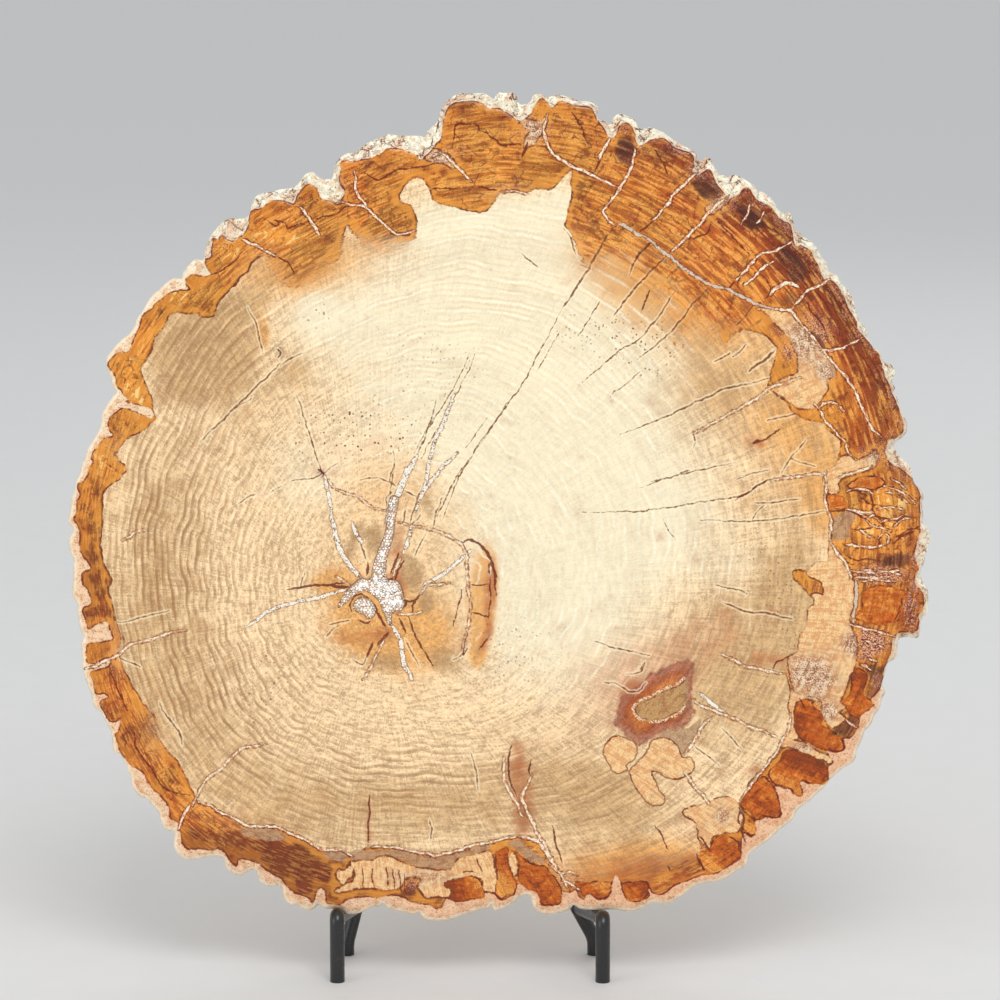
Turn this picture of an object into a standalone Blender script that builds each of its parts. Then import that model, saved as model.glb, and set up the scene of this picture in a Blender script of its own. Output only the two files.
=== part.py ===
"""A polished slice of petrified wood, resting upright on a black wire stand. Metres, +Z up.

The slice's face looks towards -Y and leans back. The origin is at the middle of the bottom of the bounding box.
"""

import math
import random

import bmesh
import bpy
from mathutils import Matrix, Vector, noise

# Driving dimensions of the slice
SLICE_WIDTH = 0.280
SLICE_THICKNESS = 0.020
LEAN = math.radians(10)
SLICE_Y = -0.030  # where the middle of the polished face stands, between front feet and rear foot
GAP = 0.0003  # between pieces that touch

# Driving dimensions of the stand
ROD_RADIUS = 0.00238
SEAT_HEIGHT = 0.0223  # bottom of the slice above the table, where the prongs carry it
PRONG_FRONT = 0.0045  # centre of a front foot, ahead of the polished face
PRONG_FEET = {"left": -0.0525, "right": 0.0335}
SHOULDER_RISE = {"left": 0.0022, "right": 0.0010}  # a prong's shoulder above the seat
LEG_FEET = {"left": -0.0505, "right": 0.0315}
LEG_KNEES = {"left": (-0.0505, 0.0040), "right": (0.0315, 0.0055)}  # across, height: plumb above the foot
LEG_SHINS = {"left": (-0.0477, 0.0150), "right": (0.0253, 0.0165)}
LEG_APEX_HEIGHT = 0.184
LEG_LEAN = math.radians(8)
REAR_FOOT_Y = 0.0578
REAR_ANKLE_HEIGHT = 0.010
REAR_TOP_DROP = 0.006  # how far below the legs' apex the rear leg begins
BEND_RADIUS = 0.0055
LEG_BEND_RADIUS = 0.011
SADDLE_START = 0.004  # where the saddle begins, behind the polished face
END_SHARE = 0.6  # of the rod's radius, at its chamfered end
END_LENGTH = 0.0011

# The photograph's pixels, which the slice's outline is read in, clockwise from the upper left
PIXEL_CENTRE = (499.35, 500)
PIXEL_WIDTH = 862.7
SEAT_PIXEL = 911
OUTLINE_PX = [
    (142, 311), (150, 297), (169, 280), (175, 278), (181, 278), (182, 272), (190, 263), (196, 258),
    (202, 260), (206, 244), (211, 234), (224, 220), (241, 218), (248, 214), (252, 200), (257, 194),
    (292, 186), (299, 181), (303, 175), (312, 170), (320, 177), (331, 178), (336, 161), (341, 155),
    (356, 151), (366, 142), (390, 132), (425, 136), (427, 130), (437, 121), (441, 108), (446, 100),
    (454, 94), (462, 92), (482, 92), (494, 98), (496, 93), (500, 91), (512, 91), (516, 95), (521, 103),
    (528, 102), (533, 95), (537, 92), (547, 96), (560, 94), (593, 102), (598, 106), (599, 118),
    (608, 123), (611, 123), (614, 117), (621, 112), (635, 119), (641, 127), (649, 126), (664, 131),
    (693, 148), (697, 153), (698, 159), (702, 160), (708, 156), (712, 158), (720, 174), (724, 174),
    (728, 177), (736, 174), (744, 178), (756, 186), (758, 190), (763, 191), (771, 196), (783, 212),
    (789, 211), (793, 215), (796, 229), (814, 242), (828, 262), (829, 269), (838, 275), (850, 290),
    (854, 298), (859, 316), (870, 333), (867, 336), (876, 349), (880, 350), (886, 363), (891, 364),
    (896, 369), (896, 376), (893, 381), (896, 388), (894, 392), (908, 422), (908, 431), (894, 446),
    (900, 456), (912, 469), (915, 483), (925, 497), (923, 522), (930, 532), (931, 540), (925, 565),
    (922, 570), (922, 577), (928, 589), (930, 596), (928, 614), (923, 618), (920, 637), (917, 639),
    (900, 639), (899, 654), (896, 659), (888, 664), (884, 679), (883, 685), (886, 692), (880, 708),
    (872, 723), (865, 731), (857, 750), (856, 757), (853, 763), (836, 774), (810, 801), (797, 812),
    (794, 819), (753, 852), (749, 856), (745, 867), (719, 881), (697, 886), (676, 900), (666, 904),
    (651, 903), (637, 911), (625, 912), (590, 910), (579, 909), (574, 906), (569, 910), (550, 915),
    (541, 914), (535, 910), (530, 897), (523, 896), (518, 898), (515, 902), (498, 911), (494, 911),
    (492, 905), (489, 908), (444, 921), (423, 919), (419, 914), (414, 915), (388, 909), (382, 904),
    (355, 914), (347, 914), (341, 911), (326, 909), (318, 905), (314, 909), (308, 911), (296, 905),
    (291, 905), (285, 902), (280, 887), (267, 886), (261, 883), (256, 872), (252, 870), (240, 877),
    (228, 871), (224, 860), (219, 858), (187, 860), (180, 857), (173, 846), (174, 834), (172, 831),
    (169, 832), (165, 829), (161, 824), (158, 812), (146, 799), (140, 797), (132, 786), (130, 776),
    (123, 761), (120, 755), (114, 753), (112, 748), (110, 731), (100, 712), (96, 710), (92, 703),
    (82, 668), (81, 647), (84, 637), (80, 627), (77, 605), (72, 592), (74, 560), (68, 541), (73, 529),
    (68, 523), (75, 482), (86, 451), (99, 430), (102, 415), (116, 392), (107, 371), (106, 358),
    (119, 341), (130, 333),
]

# How far the broken bark sets back the polished face from the rim: (degrees around the face, pixels)
BARK_WIDTHS = [
    (-180, 3), (-150, 3), (-120, 4), (-100, 8), (-75, 7), (-60, 5), (-45, 4), (-30, 5), (-18, 8), (-5, 14),
    (2, 7), (10, 12), (25, 9), (40, 13), (60, 12), (75, 13), (90, 14), (105, 12), (120, 11), (135, 7), (150, 4),
    (180, 3),
]

# The rim from the polished face to the sawn back: (depth, share of the bark width, lump depth, taper)
RIM_STEPS = [
    (0.0, 1.0, 0.0, 0.0),
    (0.0020, 0.35, 0.0004, 0.0),
    (0.0048, 0.0, 0.0003, 0.0),
    (0.0095, 0.0, 0.0022, 0.0004),
    (0.0148, 0.1, 0.0024, 0.0010),
    (0.0188, 0.2, 0.0014, 0.0018),
    (SLICE_THICKNESS, 0.35, 0.0006, 0.0030),
]
LUMP_PITCH = 0.013
LUMP_PITCH_DEEP = 0.022
EDGE_ANGLE = math.radians(35)  # sharper edges of the rim stay sharp

# The two hollows in the heart, in the same pixels, and the quartz in them
HEART_PX = [
    (391, 496), (388, 506), (387, 520), (384, 535), (378, 550), (373, 565), (370, 578), (361, 578), (354, 583),
    (347, 590), (340, 601), (338, 608), (345, 604), (353, 597), (363, 591), (372, 595), (379, 602), (383, 612),
    (388, 624), (391, 625), (393, 612), (401, 611), (405, 604), (403, 592), (398, 581), (388, 579), (386, 572),
    (387, 560), (391, 546), (394, 532), (396, 516), (399, 498),
]
POCKET_PX = [
    (362, 597), (357, 599), (353, 605), (355, 611), (363, 615), (368, 619), (374, 617), (376, 609), (373, 602),
    (368, 598),
]
HOLLOW_DEPTH = 0.0030
CRUST_BASE = 0.0014  # depth of the crust's feet below the face
CRYSTAL_PITCH = 0.0016
CRYSTAL_HEIGHTS = (0.0004, 0.0011)
FOOT_JITTER = 0.0005
TIP_JITTER = 0.0003
DIP = 0.0001

PIXEL = SLICE_WIDTH / PIXEL_WIDTH
CENTRE_HEIGHT = SEAT_HEIGHT + (SEAT_PIXEL - PIXEL_CENTRE[1]) * PIXEL * math.cos(LEAN)


def on_face(point_px):
    """A pixel of the photograph as a place on the polished face."""
    x, y = point_px
    return Vector(((x - PIXEL_CENTRE[0]) * PIXEL, (PIXEL_CENTRE[1] - y) * PIXEL))


def clear_scene():
    for thing in list(bpy.data.objects):
        bpy.data.objects.remove(thing, do_unlink=True)


def collection(name):
    group = bpy.data.collections.new(name)
    bpy.context.scene.collection.children.link(group)
    return group


def material(name, colour, roughness, metallic=0.0):
    made = bpy.data.materials.new(name)
    made.use_nodes = True
    shader = made.node_tree.nodes["Principled BSDF"]
    shader.inputs["Base Color"].default_value = (*colour, 1.0)
    shader.inputs["Roughness"].default_value = roughness
    shader.inputs["Metallic"].default_value = metallic
    return made


def filled_curve(name, outline, half_height, group):
    """A flat outline with its faces filled, thickened by half_height to each side."""
    curve = bpy.data.curves.new(name, "CURVE")
    curve.dimensions = "2D"
    curve.fill_mode = "BOTH"
    curve.extrude = half_height
    spline = curve.splines.new("POLY")
    spline.points.add(len(outline) - 1)
    for point, place in zip(spline.points, outline):
        point.co = (place[0], place[1], 0.0, 1.0)
    spline.use_cyclic_u = True
    thing = bpy.data.objects.new(name, curve)
    group.objects.link(thing)
    return thing


def as_mesh(thing, group):
    """The same object with its evaluated shape as a welded mesh."""
    name = thing.name
    bpy.context.view_layer.update()
    graph = bpy.context.evaluated_depsgraph_get()
    mesh = bpy.data.meshes.new_from_object(thing.evaluated_get(graph))
    place = thing.matrix_world.copy()
    bpy.data.objects.remove(thing, do_unlink=True)
    work = bmesh.new()
    work.from_mesh(mesh)
    bmesh.ops.remove_doubles(work, verts=work.verts, dist=0.00001)
    bmesh.ops.recalc_face_normals(work, faces=work.faces)
    work.to_mesh(mesh)
    work.free()
    made = bpy.data.objects.new(name, mesh)
    made.matrix_world = place
    group.objects.link(made)
    return made


def bark_width(angle):
    """How wide the broken bark shows around the face, in metres, at an angle in degrees."""
    for (start, first), (end, second) in zip(BARK_WIDTHS, BARK_WIDTHS[1:]):
        if start <= angle <= end:
            part = (angle - start) / (end - start)
            return (first + (second - first) * part) * PIXEL
    return BARK_WIDTHS[0][1] * PIXEL


def rim_place(rim_point, step):
    """Where a point of the outline lies at one step through the thickness."""
    depth, bark_share, lump, taper = step
    radius = rim_point.length
    angle = math.degrees(math.atan2(rim_point.y, rim_point.x))
    spot = Vector((rim_point.x / LUMP_PITCH, rim_point.y / LUMP_PITCH, depth / LUMP_PITCH_DEEP))
    hollowed = lump * (0.5 + noise.noise(spot))
    inset = bark_share * bark_width(angle) + max(hollowed, 0.0) + taper
    place = rim_point * (1.0 - inset / radius)
    return Vector((place.x, place.y, -depth))


def stone_slab(group):
    """The outline drawn out step by step through the thickness, set back or out at each step."""
    outline = [on_face(p) for p in OUTLINE_PX]
    sheet = as_mesh(filled_curve("slice", outline, 0.0, group), group)
    work = bmesh.new()
    work.from_mesh(sheet.data)
    rim = [v.co.copy() for v in work.verts]
    front = list(work.verts)
    back = work.faces[:]
    for count, step in enumerate(RIM_STEPS[1:]):
        grown = bmesh.ops.extrude_face_region(work, geom=back)["geom"]
        if count:
            bmesh.ops.delete(work, geom=back, context="FACES")
        back = [f for f in grown if isinstance(f, bmesh.types.BMFace)]
        for vert in {v for face in back for v in face.verts}:
            start = min(rim, key=lambda place: abs(turn(place) - turn(vert.co)))
            vert.co = rim_place(start.to_2d(), step)
    for vert, start in zip(front, rim):
        vert.co = rim_place(start.to_2d(), RIM_STEPS[0])
    bmesh.ops.recalc_face_normals(work, faces=work.faces)
    work.to_mesh(sheet.data)
    work.free()
    sheet.data.shade_smooth()
    sheet.data.set_sharp_from_angle(angle=EDGE_ANGLE)
    return sheet


def turn(place):
    """The angle of a place around the middle of the face."""
    return math.atan2(place.y, place.x)


def cut(thing, cutter):
    """Takes the cutter out of the thing."""
    modifier = thing.modifiers.new(cutter.name, "BOOLEAN")
    modifier.operation = "DIFFERENCE"
    modifier.solver = "EXACT"
    modifier.object = cutter
    cutter.hide_render = True
    cutter.display_type = "WIRE"


def hollow_cutter(name, outline_px, cutters):
    """A plug of the hollow's outline, from its floor to a little above the face."""
    above = 0.001
    plug = filled_curve(name, [on_face(p) for p in outline_px], (HOLLOW_DEPTH + above) / 2, cutters)
    plug = as_mesh(plug, cutters)
    plug.location.z = (above - HOLLOW_DEPTH) / 2
    return plug


def shrunk(outline, distance):
    """The outline moved inwards, its corners along their middle lines."""
    area = sum(a.x * b.y - b.x * a.y for a, b in zip(outline, outline[1:] + outline[:1]))
    side = 1.0 if area > 0 else -1.0
    made = []
    for before, here, after in zip(outline[-1:] + outline[:-1], outline, outline[1:] + outline[:1]):
        first = (here - before).normalized()
        second = (after - here).normalized()
        inward = Vector((-first.y - second.y, first.x + second.x)).normalized() * side
        stretch = max(inward.dot(Vector((-first.y, first.x))) * side, 0.4)
        made.append(here + inward * distance / stretch)
    return made


def crystal_crust(name, outline_px, seed, group, cutters):
    """A bed of pyramids on a block, trimmed to the hollow it grew in."""
    outline = [on_face(p) for p in outline_px]
    low = Vector((min(p.x for p in outline), min(p.y for p in outline)))
    high = Vector((max(p.x for p in outline), max(p.y for p in outline)))
    size = high - low
    columns = max(2, round(size.x / CRYSTAL_PITCH))
    rows = max(2, round(size.y / CRYSTAL_PITCH))
    chance = random.Random(seed)
    work = bmesh.new()
    middle = Matrix.Translation(((low.x + high.x) / 2, (low.y + high.y) / 2, -CRUST_BASE))
    stretch = Matrix.Diagonal((size.x / 2 + CRYSTAL_PITCH, size.y / 2 + CRYSTAL_PITCH, 1.0, 1.0))
    bmesh.ops.create_grid(work, x_segments=columns, y_segments=rows, size=1.0, matrix=middle @ stretch)
    for vert in work.verts:
        if not vert.is_boundary:
            vert.co.x += chance.uniform(-FOOT_JITTER, FOOT_JITTER)
            vert.co.y += chance.uniform(-FOOT_JITTER, FOOT_JITTER)
            vert.co.z -= chance.uniform(0.0, DIP)
    bed = work.faces[:]
    grown = bmesh.ops.extrude_face_region(work, geom=bed)
    for vert in [v for v in grown["geom"] if isinstance(v, bmesh.types.BMVert)]:
        vert.co.z = GAP - HOLLOW_DEPTH
    for face in bed:
        tip = bmesh.ops.poke(work, faces=[face])["verts"][0]
        tip.co.z = -CRUST_BASE + chance.uniform(*CRYSTAL_HEIGHTS)
        tip.co.x += chance.uniform(-TIP_JITTER, TIP_JITTER)
        tip.co.y += chance.uniform(-TIP_JITTER, TIP_JITTER)
    bmesh.ops.recalc_face_normals(work, faces=work.faces)
    mesh = bpy.data.meshes.new(name)
    work.to_mesh(mesh)
    work.free()
    crust = bpy.data.objects.new(name, mesh)
    group.objects.link(crust)
    trim = filled_curve(name + "_trim", shrunk(outline, GAP), HOLLOW_DEPTH, cutters)
    trim = as_mesh(trim, cutters)
    keep = crust.modifiers.new("trim", "BOOLEAN")
    keep.operation = "INTERSECT"
    keep.solver = "EXACT"
    keep.object = trim
    trim.hide_render = True
    trim.display_type = "WIRE"
    return crust


def rounded(path, radius, steps=4):
    """A path of straight runs with each corner turned into an arc."""
    made = [path[0]]
    for before, corner, after in zip(path, path[1:], path[2:]):
        back = (before - corner).normalized()
        ahead = (after - corner).normalized()
        half = back.angle(ahead) / 2
        reach = min(radius / math.tan(half), 0.45 * (before - corner).length, 0.45 * (after - corner).length)
        tight = reach * math.tan(half)
        hub = corner + (back + ahead).normalized() * tight / math.sin(half)
        start = (corner + back * reach - hub).normalized()
        end = (corner + ahead * reach - hub).normalized()
        for step in range(steps + 1):
            made.append(hub + start.slerp(end, step / steps) * tight)
    made.append(path[-1])
    return made


def rod(name, path, group, both_ends=True):
    """A round rod along a path that starts at its foot, with chamfered ends."""
    curve = bpy.data.curves.new(name, "CURVE")
    curve.dimensions = "3D"
    curve.bevel_depth = ROD_RADIUS
    curve.bevel_resolution = 3
    curve.use_fill_caps = True
    points = list(path)
    points.insert(1, points[0] + (points[1] - points[0]).normalized() * END_LENGTH)
    shares = [END_SHARE] + [1.0] * (len(points) - 1)
    if both_ends:
        points.insert(-1, points[-1] + (points[-2] - points[-1]).normalized() * END_LENGTH)
        shares.append(END_SHARE)
    spline = curve.splines.new("POLY")
    spline.points.add(len(points) - 1)
    for point, place, share in zip(spline.points, points, shares):
        point.co = (*place, 1.0)
        point.radius = share
    thing = bpy.data.objects.new(name, curve)
    group.objects.link(thing)
    return thing


def leaning(across, up, out):
    """A place in the slice's own frame, in world coordinates: along the face, up it and out of it."""
    return Vector((
        across,
        SLICE_Y + up * math.sin(LEAN) - out * math.cos(LEAN),
        CENTRE_HEIGHT + up * math.cos(LEAN) + out * math.sin(LEAN),
    ))


def back_of_slice(height):
    """How far back the sawn face lies at a height above the table."""
    up = (height - CENTRE_HEIGHT + SLICE_THICKNESS * math.sin(LEAN)) / math.cos(LEAN)
    return leaning(0.0, up, -SLICE_THICKNESS).y


def leg_depth(height):
    """How far back a leg's centre lies at a height: it touches the slice near its top only."""
    touch = back_of_slice(LEG_APEX_HEIGHT) + (GAP + ROD_RADIUS) / math.cos(LEG_LEAN)
    return touch - (LEG_APEX_HEIGHT - height) * math.tan(LEG_LEAN)


def leg_path(side, apex_across):
    """Foot on the table, knee and shin as the photograph shows them, then straight to the apex."""
    path = [Vector((LEG_FEET[side], leg_depth(LEG_KNEES[side][1]), 0.0))]
    for across, height in (LEG_KNEES[side], LEG_SHINS[side]):
        path.append(Vector((across, leg_depth(height), height)))
    path.append(Vector((apex_across, leg_depth(LEG_APEX_HEIGHT), LEG_APEX_HEIGHT)))
    return path


def prong_path(side):
    """Front foot, shoulder, and the saddle that carries the slice back to the leg."""
    seat = (PIXEL_CENTRE[1] - SEAT_PIXEL) * PIXEL
    across = PRONG_FEET[side]
    shoulder = leaning(across, seat + SHOULDER_RISE[side] - ROD_RADIUS, PRONG_FRONT)
    saddle = leaning(across, seat - GAP - ROD_RADIUS, -SADDLE_START)
    foot = Vector((across, shoulder.y, 0.0))
    height = leaning(across, seat - GAP - ROD_RADIUS, -SLICE_THICKNESS - ROD_RADIUS).z
    knee, shin = [Vector((x, leg_depth(z), z)) for x, z in (LEG_KNEES[side], LEG_SHINS[side])]
    leg_run = (shin - knee).normalized()
    leg_centre = knee.lerp(shin, (height - knee.z) / (shin.z - knee.z))
    inward = (leg_centre - saddle).normalized()
    slant = math.asin(abs(inward.dot(leg_run)))
    short = (ROD_RADIUS + GAP + ROD_RADIUS * math.sin(slant)) / math.cos(slant)
    return [foot, shoulder, saddle, leg_centre - inward * short]


def main():
    clear_scene()
    group = collection("petrified_wood_slice")
    cutters = collection("cutters")

    stone = material("petrified_wood", (0.62, 0.42, 0.22), 0.18)
    quartz = material("quartz", (0.85, 0.83, 0.80), 0.25)
    metal = material("black_metal", (0.02, 0.02, 0.022), 0.42)

    lean = bpy.data.objects.new("slice_lean", None)
    lean.location = leaning(0.0, 0.0, 0.0)
    lean.rotation_euler.x = math.pi / 2 - LEAN
    group.objects.link(lean)

    slab = stone_slab(group)
    plugs = [hollow_cutter("heart_plug", HEART_PX, cutters), hollow_cutter("pocket_plug", POCKET_PX, cutters)]
    for plug in plugs:
        cut(slab, plug)
    heart = crystal_crust("crystal_crust", HEART_PX, 4, group, cutters)
    pocket = crystal_crust("crystal_pocket", POCKET_PX, 9, group, cutters)
    for thing in [slab, heart, pocket, *plugs, *(t for t in cutters.objects if t.name.endswith("_trim"))]:
        thing.parent = lean
    slab.data.materials.append(stone)
    for crust in (heart, pocket):
        crust.data.materials.append(quartz)

    middle = (LEG_FEET["left"] + LEG_FEET["right"]) / 2
    beside = ROD_RADIUS + GAP / 2
    apex = {"left": middle - beside, "right": middle + beside}
    for side in ("left", "right"):
        leg = rod(side + "_leg", rounded(leg_path(side, apex[side]), LEG_BEND_RADIUS), group)
        prong = rod(side + "_prong", rounded(prong_path(side), BEND_RADIUS), group, both_ends=False)
        leg.data.materials.append(metal)
        prong.data.materials.append(metal)

    rear_height = LEG_APEX_HEIGHT - REAR_TOP_DROP
    rear_top = Vector((middle, leg_depth(rear_height) + 2 * ROD_RADIUS + GAP, rear_height))
    ankle = Vector((middle, REAR_FOOT_Y, REAR_ANKLE_HEIGHT))
    rear_foot = Vector((middle, REAR_FOOT_Y, 0.0))
    rear = rod("rear_leg", rounded([rear_foot, ankle, rear_top], LEG_BEND_RADIUS), group)
    rear.data.materials.append(metal)


main()
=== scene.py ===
# %% [markdown]
# # A polished slice of petrified wood on a wire stand
#
# The slice was sawn from a fossil log. Its front face is ground flat and polished, its rim is the log's
# broken bark and its back is as the saw left it. Almost everything that the eye sees on the face is colour
# inside the stone, so the lesson has two halves: a fine mesh whose points know where they are in the
# pattern, and a material that paints each mark from that knowledge.

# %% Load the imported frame
import math
import random

import bmesh
import bpy
import numpy as np
from mathutils import Matrix, Vector, noise
from mathutils.geometry import delaunay_2d_cdt


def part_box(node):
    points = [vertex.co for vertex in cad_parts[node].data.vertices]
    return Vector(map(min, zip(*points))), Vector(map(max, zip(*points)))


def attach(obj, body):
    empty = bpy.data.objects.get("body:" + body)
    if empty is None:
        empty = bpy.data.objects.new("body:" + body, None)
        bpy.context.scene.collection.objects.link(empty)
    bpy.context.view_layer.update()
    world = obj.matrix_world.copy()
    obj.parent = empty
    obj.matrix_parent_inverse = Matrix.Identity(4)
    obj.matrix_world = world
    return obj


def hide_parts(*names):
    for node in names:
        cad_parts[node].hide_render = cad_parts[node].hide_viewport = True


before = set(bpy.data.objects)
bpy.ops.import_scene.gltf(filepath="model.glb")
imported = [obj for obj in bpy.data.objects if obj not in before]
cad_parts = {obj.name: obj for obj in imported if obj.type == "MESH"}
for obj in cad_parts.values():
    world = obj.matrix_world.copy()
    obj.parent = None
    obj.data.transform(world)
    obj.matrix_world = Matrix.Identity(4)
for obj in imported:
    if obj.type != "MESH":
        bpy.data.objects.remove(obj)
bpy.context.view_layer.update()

SLICE_LOW, SLICE_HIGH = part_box("slice")
print("the slice spans", [round(v * 1000, 1) for v in SLICE_HIGH - SLICE_LOW], "mm")

# %% [markdown]
# ## Places on the face
#
# The face leans back by ten degrees. A mark is easiest to draw flat, so every place on the face is given as
# the pixel of the reference picture that shows it, x to the right and y down. One pixel is about a third of
# a millimetre. These few functions turn such a place into a point in the room.

# %% Pixels, and the leaning face
PIXELS_WIDE = 862.7  # of the slice in the picture
PIXEL = (SLICE_HIGH.x - SLICE_LOW.x) / PIXELS_WIDE
MIDDLE_PX = np.array([499.35, 500.0])
LEAN = math.radians(10)
THICKNESS = 0.020
FACE_Y = -0.030  # of the face's middle
SEAT_HEIGHT = 0.0223  # where the stand carries the slice
SEAT_PX = 911
MIDDLE_HEIGHT = SEAT_HEIGHT + (SEAT_PX - MIDDLE_PX[1]) * PIXEL * math.cos(LEAN)
LEANING_BACK = Matrix.Rotation(math.pi / 2 - LEAN, 4, "X")
FACE_TO_ROOM = Matrix.Translation((0.0, FACE_Y, MIDDLE_HEIGHT)) @ LEANING_BACK


def face_point(x_px, y_px, out=0.0):
    """A pixel of the picture on the polished face, out metres in front of it, as a point in the room."""
    return FACE_TO_ROOM @ Vector(((x_px - MIDDLE_PX[0]) * PIXEL, (MIDDLE_PX[1] - y_px) * PIXEL, out))


print("one pixel is", round(PIXEL * 1000, 4), "mm")
print("the face's middle is", round(MIDDLE_HEIGHT * 1000, 1), "mm up")

# %% [markdown]
# ## Camera
#
# The picture looks straight at the polished face, so the camera stands on the line through its middle, at
# right angles to it, and therefore a little above it. A long lens from 1.3 m keeps the rim from showing
# more than it does in the picture.

# %% Add the camera
CAMERA_DISTANCE = 1.3
SENSOR = 36.0  # mm
FRAME_PX = 1000  # the picture's width

bpy.ops.object.select_all(action="DESELECT")
bpy.ops.object.camera_add()
camera = bpy.context.object
camera.name = "camera"
aside = (FRAME_PX / 2 - MIDDLE_PX[0]) * PIXEL
camera.matrix_world = FACE_TO_ROOM @ Matrix.Translation((aside, 0.0, CAMERA_DISTANCE))
camera.data.sensor_width = SENSOR
camera.data.lens = SENSOR * CAMERA_DISTANCE / (FRAME_PX * PIXEL)
bpy.context.scene.camera = camera
print("lens", round(camera.data.lens, 1), "mm")

# %% [markdown]
# ## Floor and light
#
# A pale floor under a pale sky gives the slice nothing to compete with. Stone that is polished shows what
# it reflects, so the light comes from wide, soft panels: a key from above and in front, which lights the
# ledges of the bark, a fill from the left, and a weak rim light from behind for the back views.

# %% Build the stage
FLOOR_SIZE = 40.0
SKY_COLOUR = (0.83, 0.84, 0.86, 1.0)
SKY_STRENGTH = 0.78

bpy.ops.object.select_all(action="DESELECT")
bpy.ops.mesh.primitive_plane_add(size=FLOOR_SIZE, location=(0.0, 0.0, 0.0))
floor = bpy.context.object
floor.name = "floor"


def panel(name, place, target, size, watts, colour):
    """A square panel of light at place, turned to target."""
    bpy.ops.object.light_add(type="AREA", location=place)
    lamp = bpy.context.object
    lamp.name = name
    lamp.data.shape = "SQUARE"
    lamp.data.size = size
    lamp.data.energy = watts
    lamp.data.color = colour
    lamp.rotation_euler = (Vector(target) - Vector(place)).to_track_quat("-Z", "Y").to_euler()


SLICE_MIDDLE = tuple(face_point(*MIDDLE_PX))
panel("key", (0.25, -1.1, 1.55), SLICE_MIDDLE, 0.9, 11.5, (1.0, 0.98, 0.95))
panel("fill", (-1.5, -1.0, 0.7), SLICE_MIDDLE, 1.2, 5.5, (0.95, 0.98, 1.0))
panel("back", (0.6, 1.4, 1.2), SLICE_MIDDLE, 1.0, 3.0, (1.0, 1.0, 1.0))

world = bpy.data.worlds.new("studio")
world.use_nodes = True
background = world.node_tree.nodes["Background"]
background.inputs["Color"].default_value = SKY_COLOUR
background.inputs["Strength"].default_value = SKY_STRENGTH
bpy.context.scene.world = world

# %% [markdown]
# ## Drawing the marks
#
# A polished slice is a picture, and the picture has to be drawn. Each border and each vein is a line of
# places read from the reference, with only as many places as its bends need. `path` turns such a
# line of text into numbers, `closed_lines` reads several of them, and `flowing` rounds one into a curve
# with a place every few pixels.

# %% Helpers that read and round a drawn line
FINE_STEP = 2.4  # pixels between places along a rounded line
SHAKE = 0.9  # pixels that a border or crack wanders from its drawn curve
SLOW_PITCH, QUICK_PITCH = 9, 3.1  # pixels between two of its wanderings
SLOW_SHARE = 1.3
noise.seed_set(7)  # without a seed the wandering would start from the clock


def path(text):
    """A drawn line, x,y pairs in pixels of the picture."""
    return np.array([[float(value) for value in pair.split(",")] for pair in text.split()])


def closed_lines(text):
    """Several drawn lines, with a slash between two."""
    return [path(part) for part in text.split("/")]


def drawn(text):
    """Veins one after another, each its width in pixels and then its line."""
    veins = []
    for word in text.split():
        if "," in word:
            veins[-1][1].append(word)
        else:
            veins.append((float(word), []))
    return [(width, path(" ".join(words))) for width, words in veins]


def flowing(points, closed=False, step=FINE_STEP):
    """The line as a smooth curve through its points, with a place about every step."""
    if closed:
        ends = np.vstack([points[-1:], points, points[:2]])
    else:
        ends = np.vstack([2 * points[:1] - points[1:2], points, 2 * points[-1:] - points[-2:-1]])
    made = []
    for p0, p1, p2, p3 in zip(ends, ends[1:], ends[2:], ends[3:]):
        count = max(1, round(float(np.linalg.norm(p2 - p1)) / step))
        for t in np.arange(count) / count:
            bend = (2 * p0 - 5 * p1 + 4 * p2 - p3) * t**2 + (3 * p1 - p0 - 3 * p2 + p3) * t**3
            made.append(0.5 * (2 * p1 + (p2 - p0) * t + bend))
    if not closed:
        made.append(points[-1])
    return np.array(made)


def shaken(line, reach=SHAKE):
    """The line with every place moved a little, as stone never breaks along a smooth curve."""
    made = []
    for x, y in line:
        slow = noise.noise_vector(Vector((x / SLOW_PITCH, y / SLOW_PITCH, 0.5)))
        quick = noise.noise_vector(Vector((x / QUICK_PITCH, y / QUICK_PITCH, 7.5)))
        shift = slow * SLOW_SHARE + quick
        made.append((x + reach * shift.x, y + reach * shift.y))
    return np.array(made)


print("a straight line of 24 pixels takes", len(flowing(path("0,0 24,0"))), "places")

# %% [markdown]
# ## The outline and the rind
#
# The silhouette is the widest part of the broken bark. Inside it runs the border between the pale rind and
# the coloured wood, a thin dark scalloped line.

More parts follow.
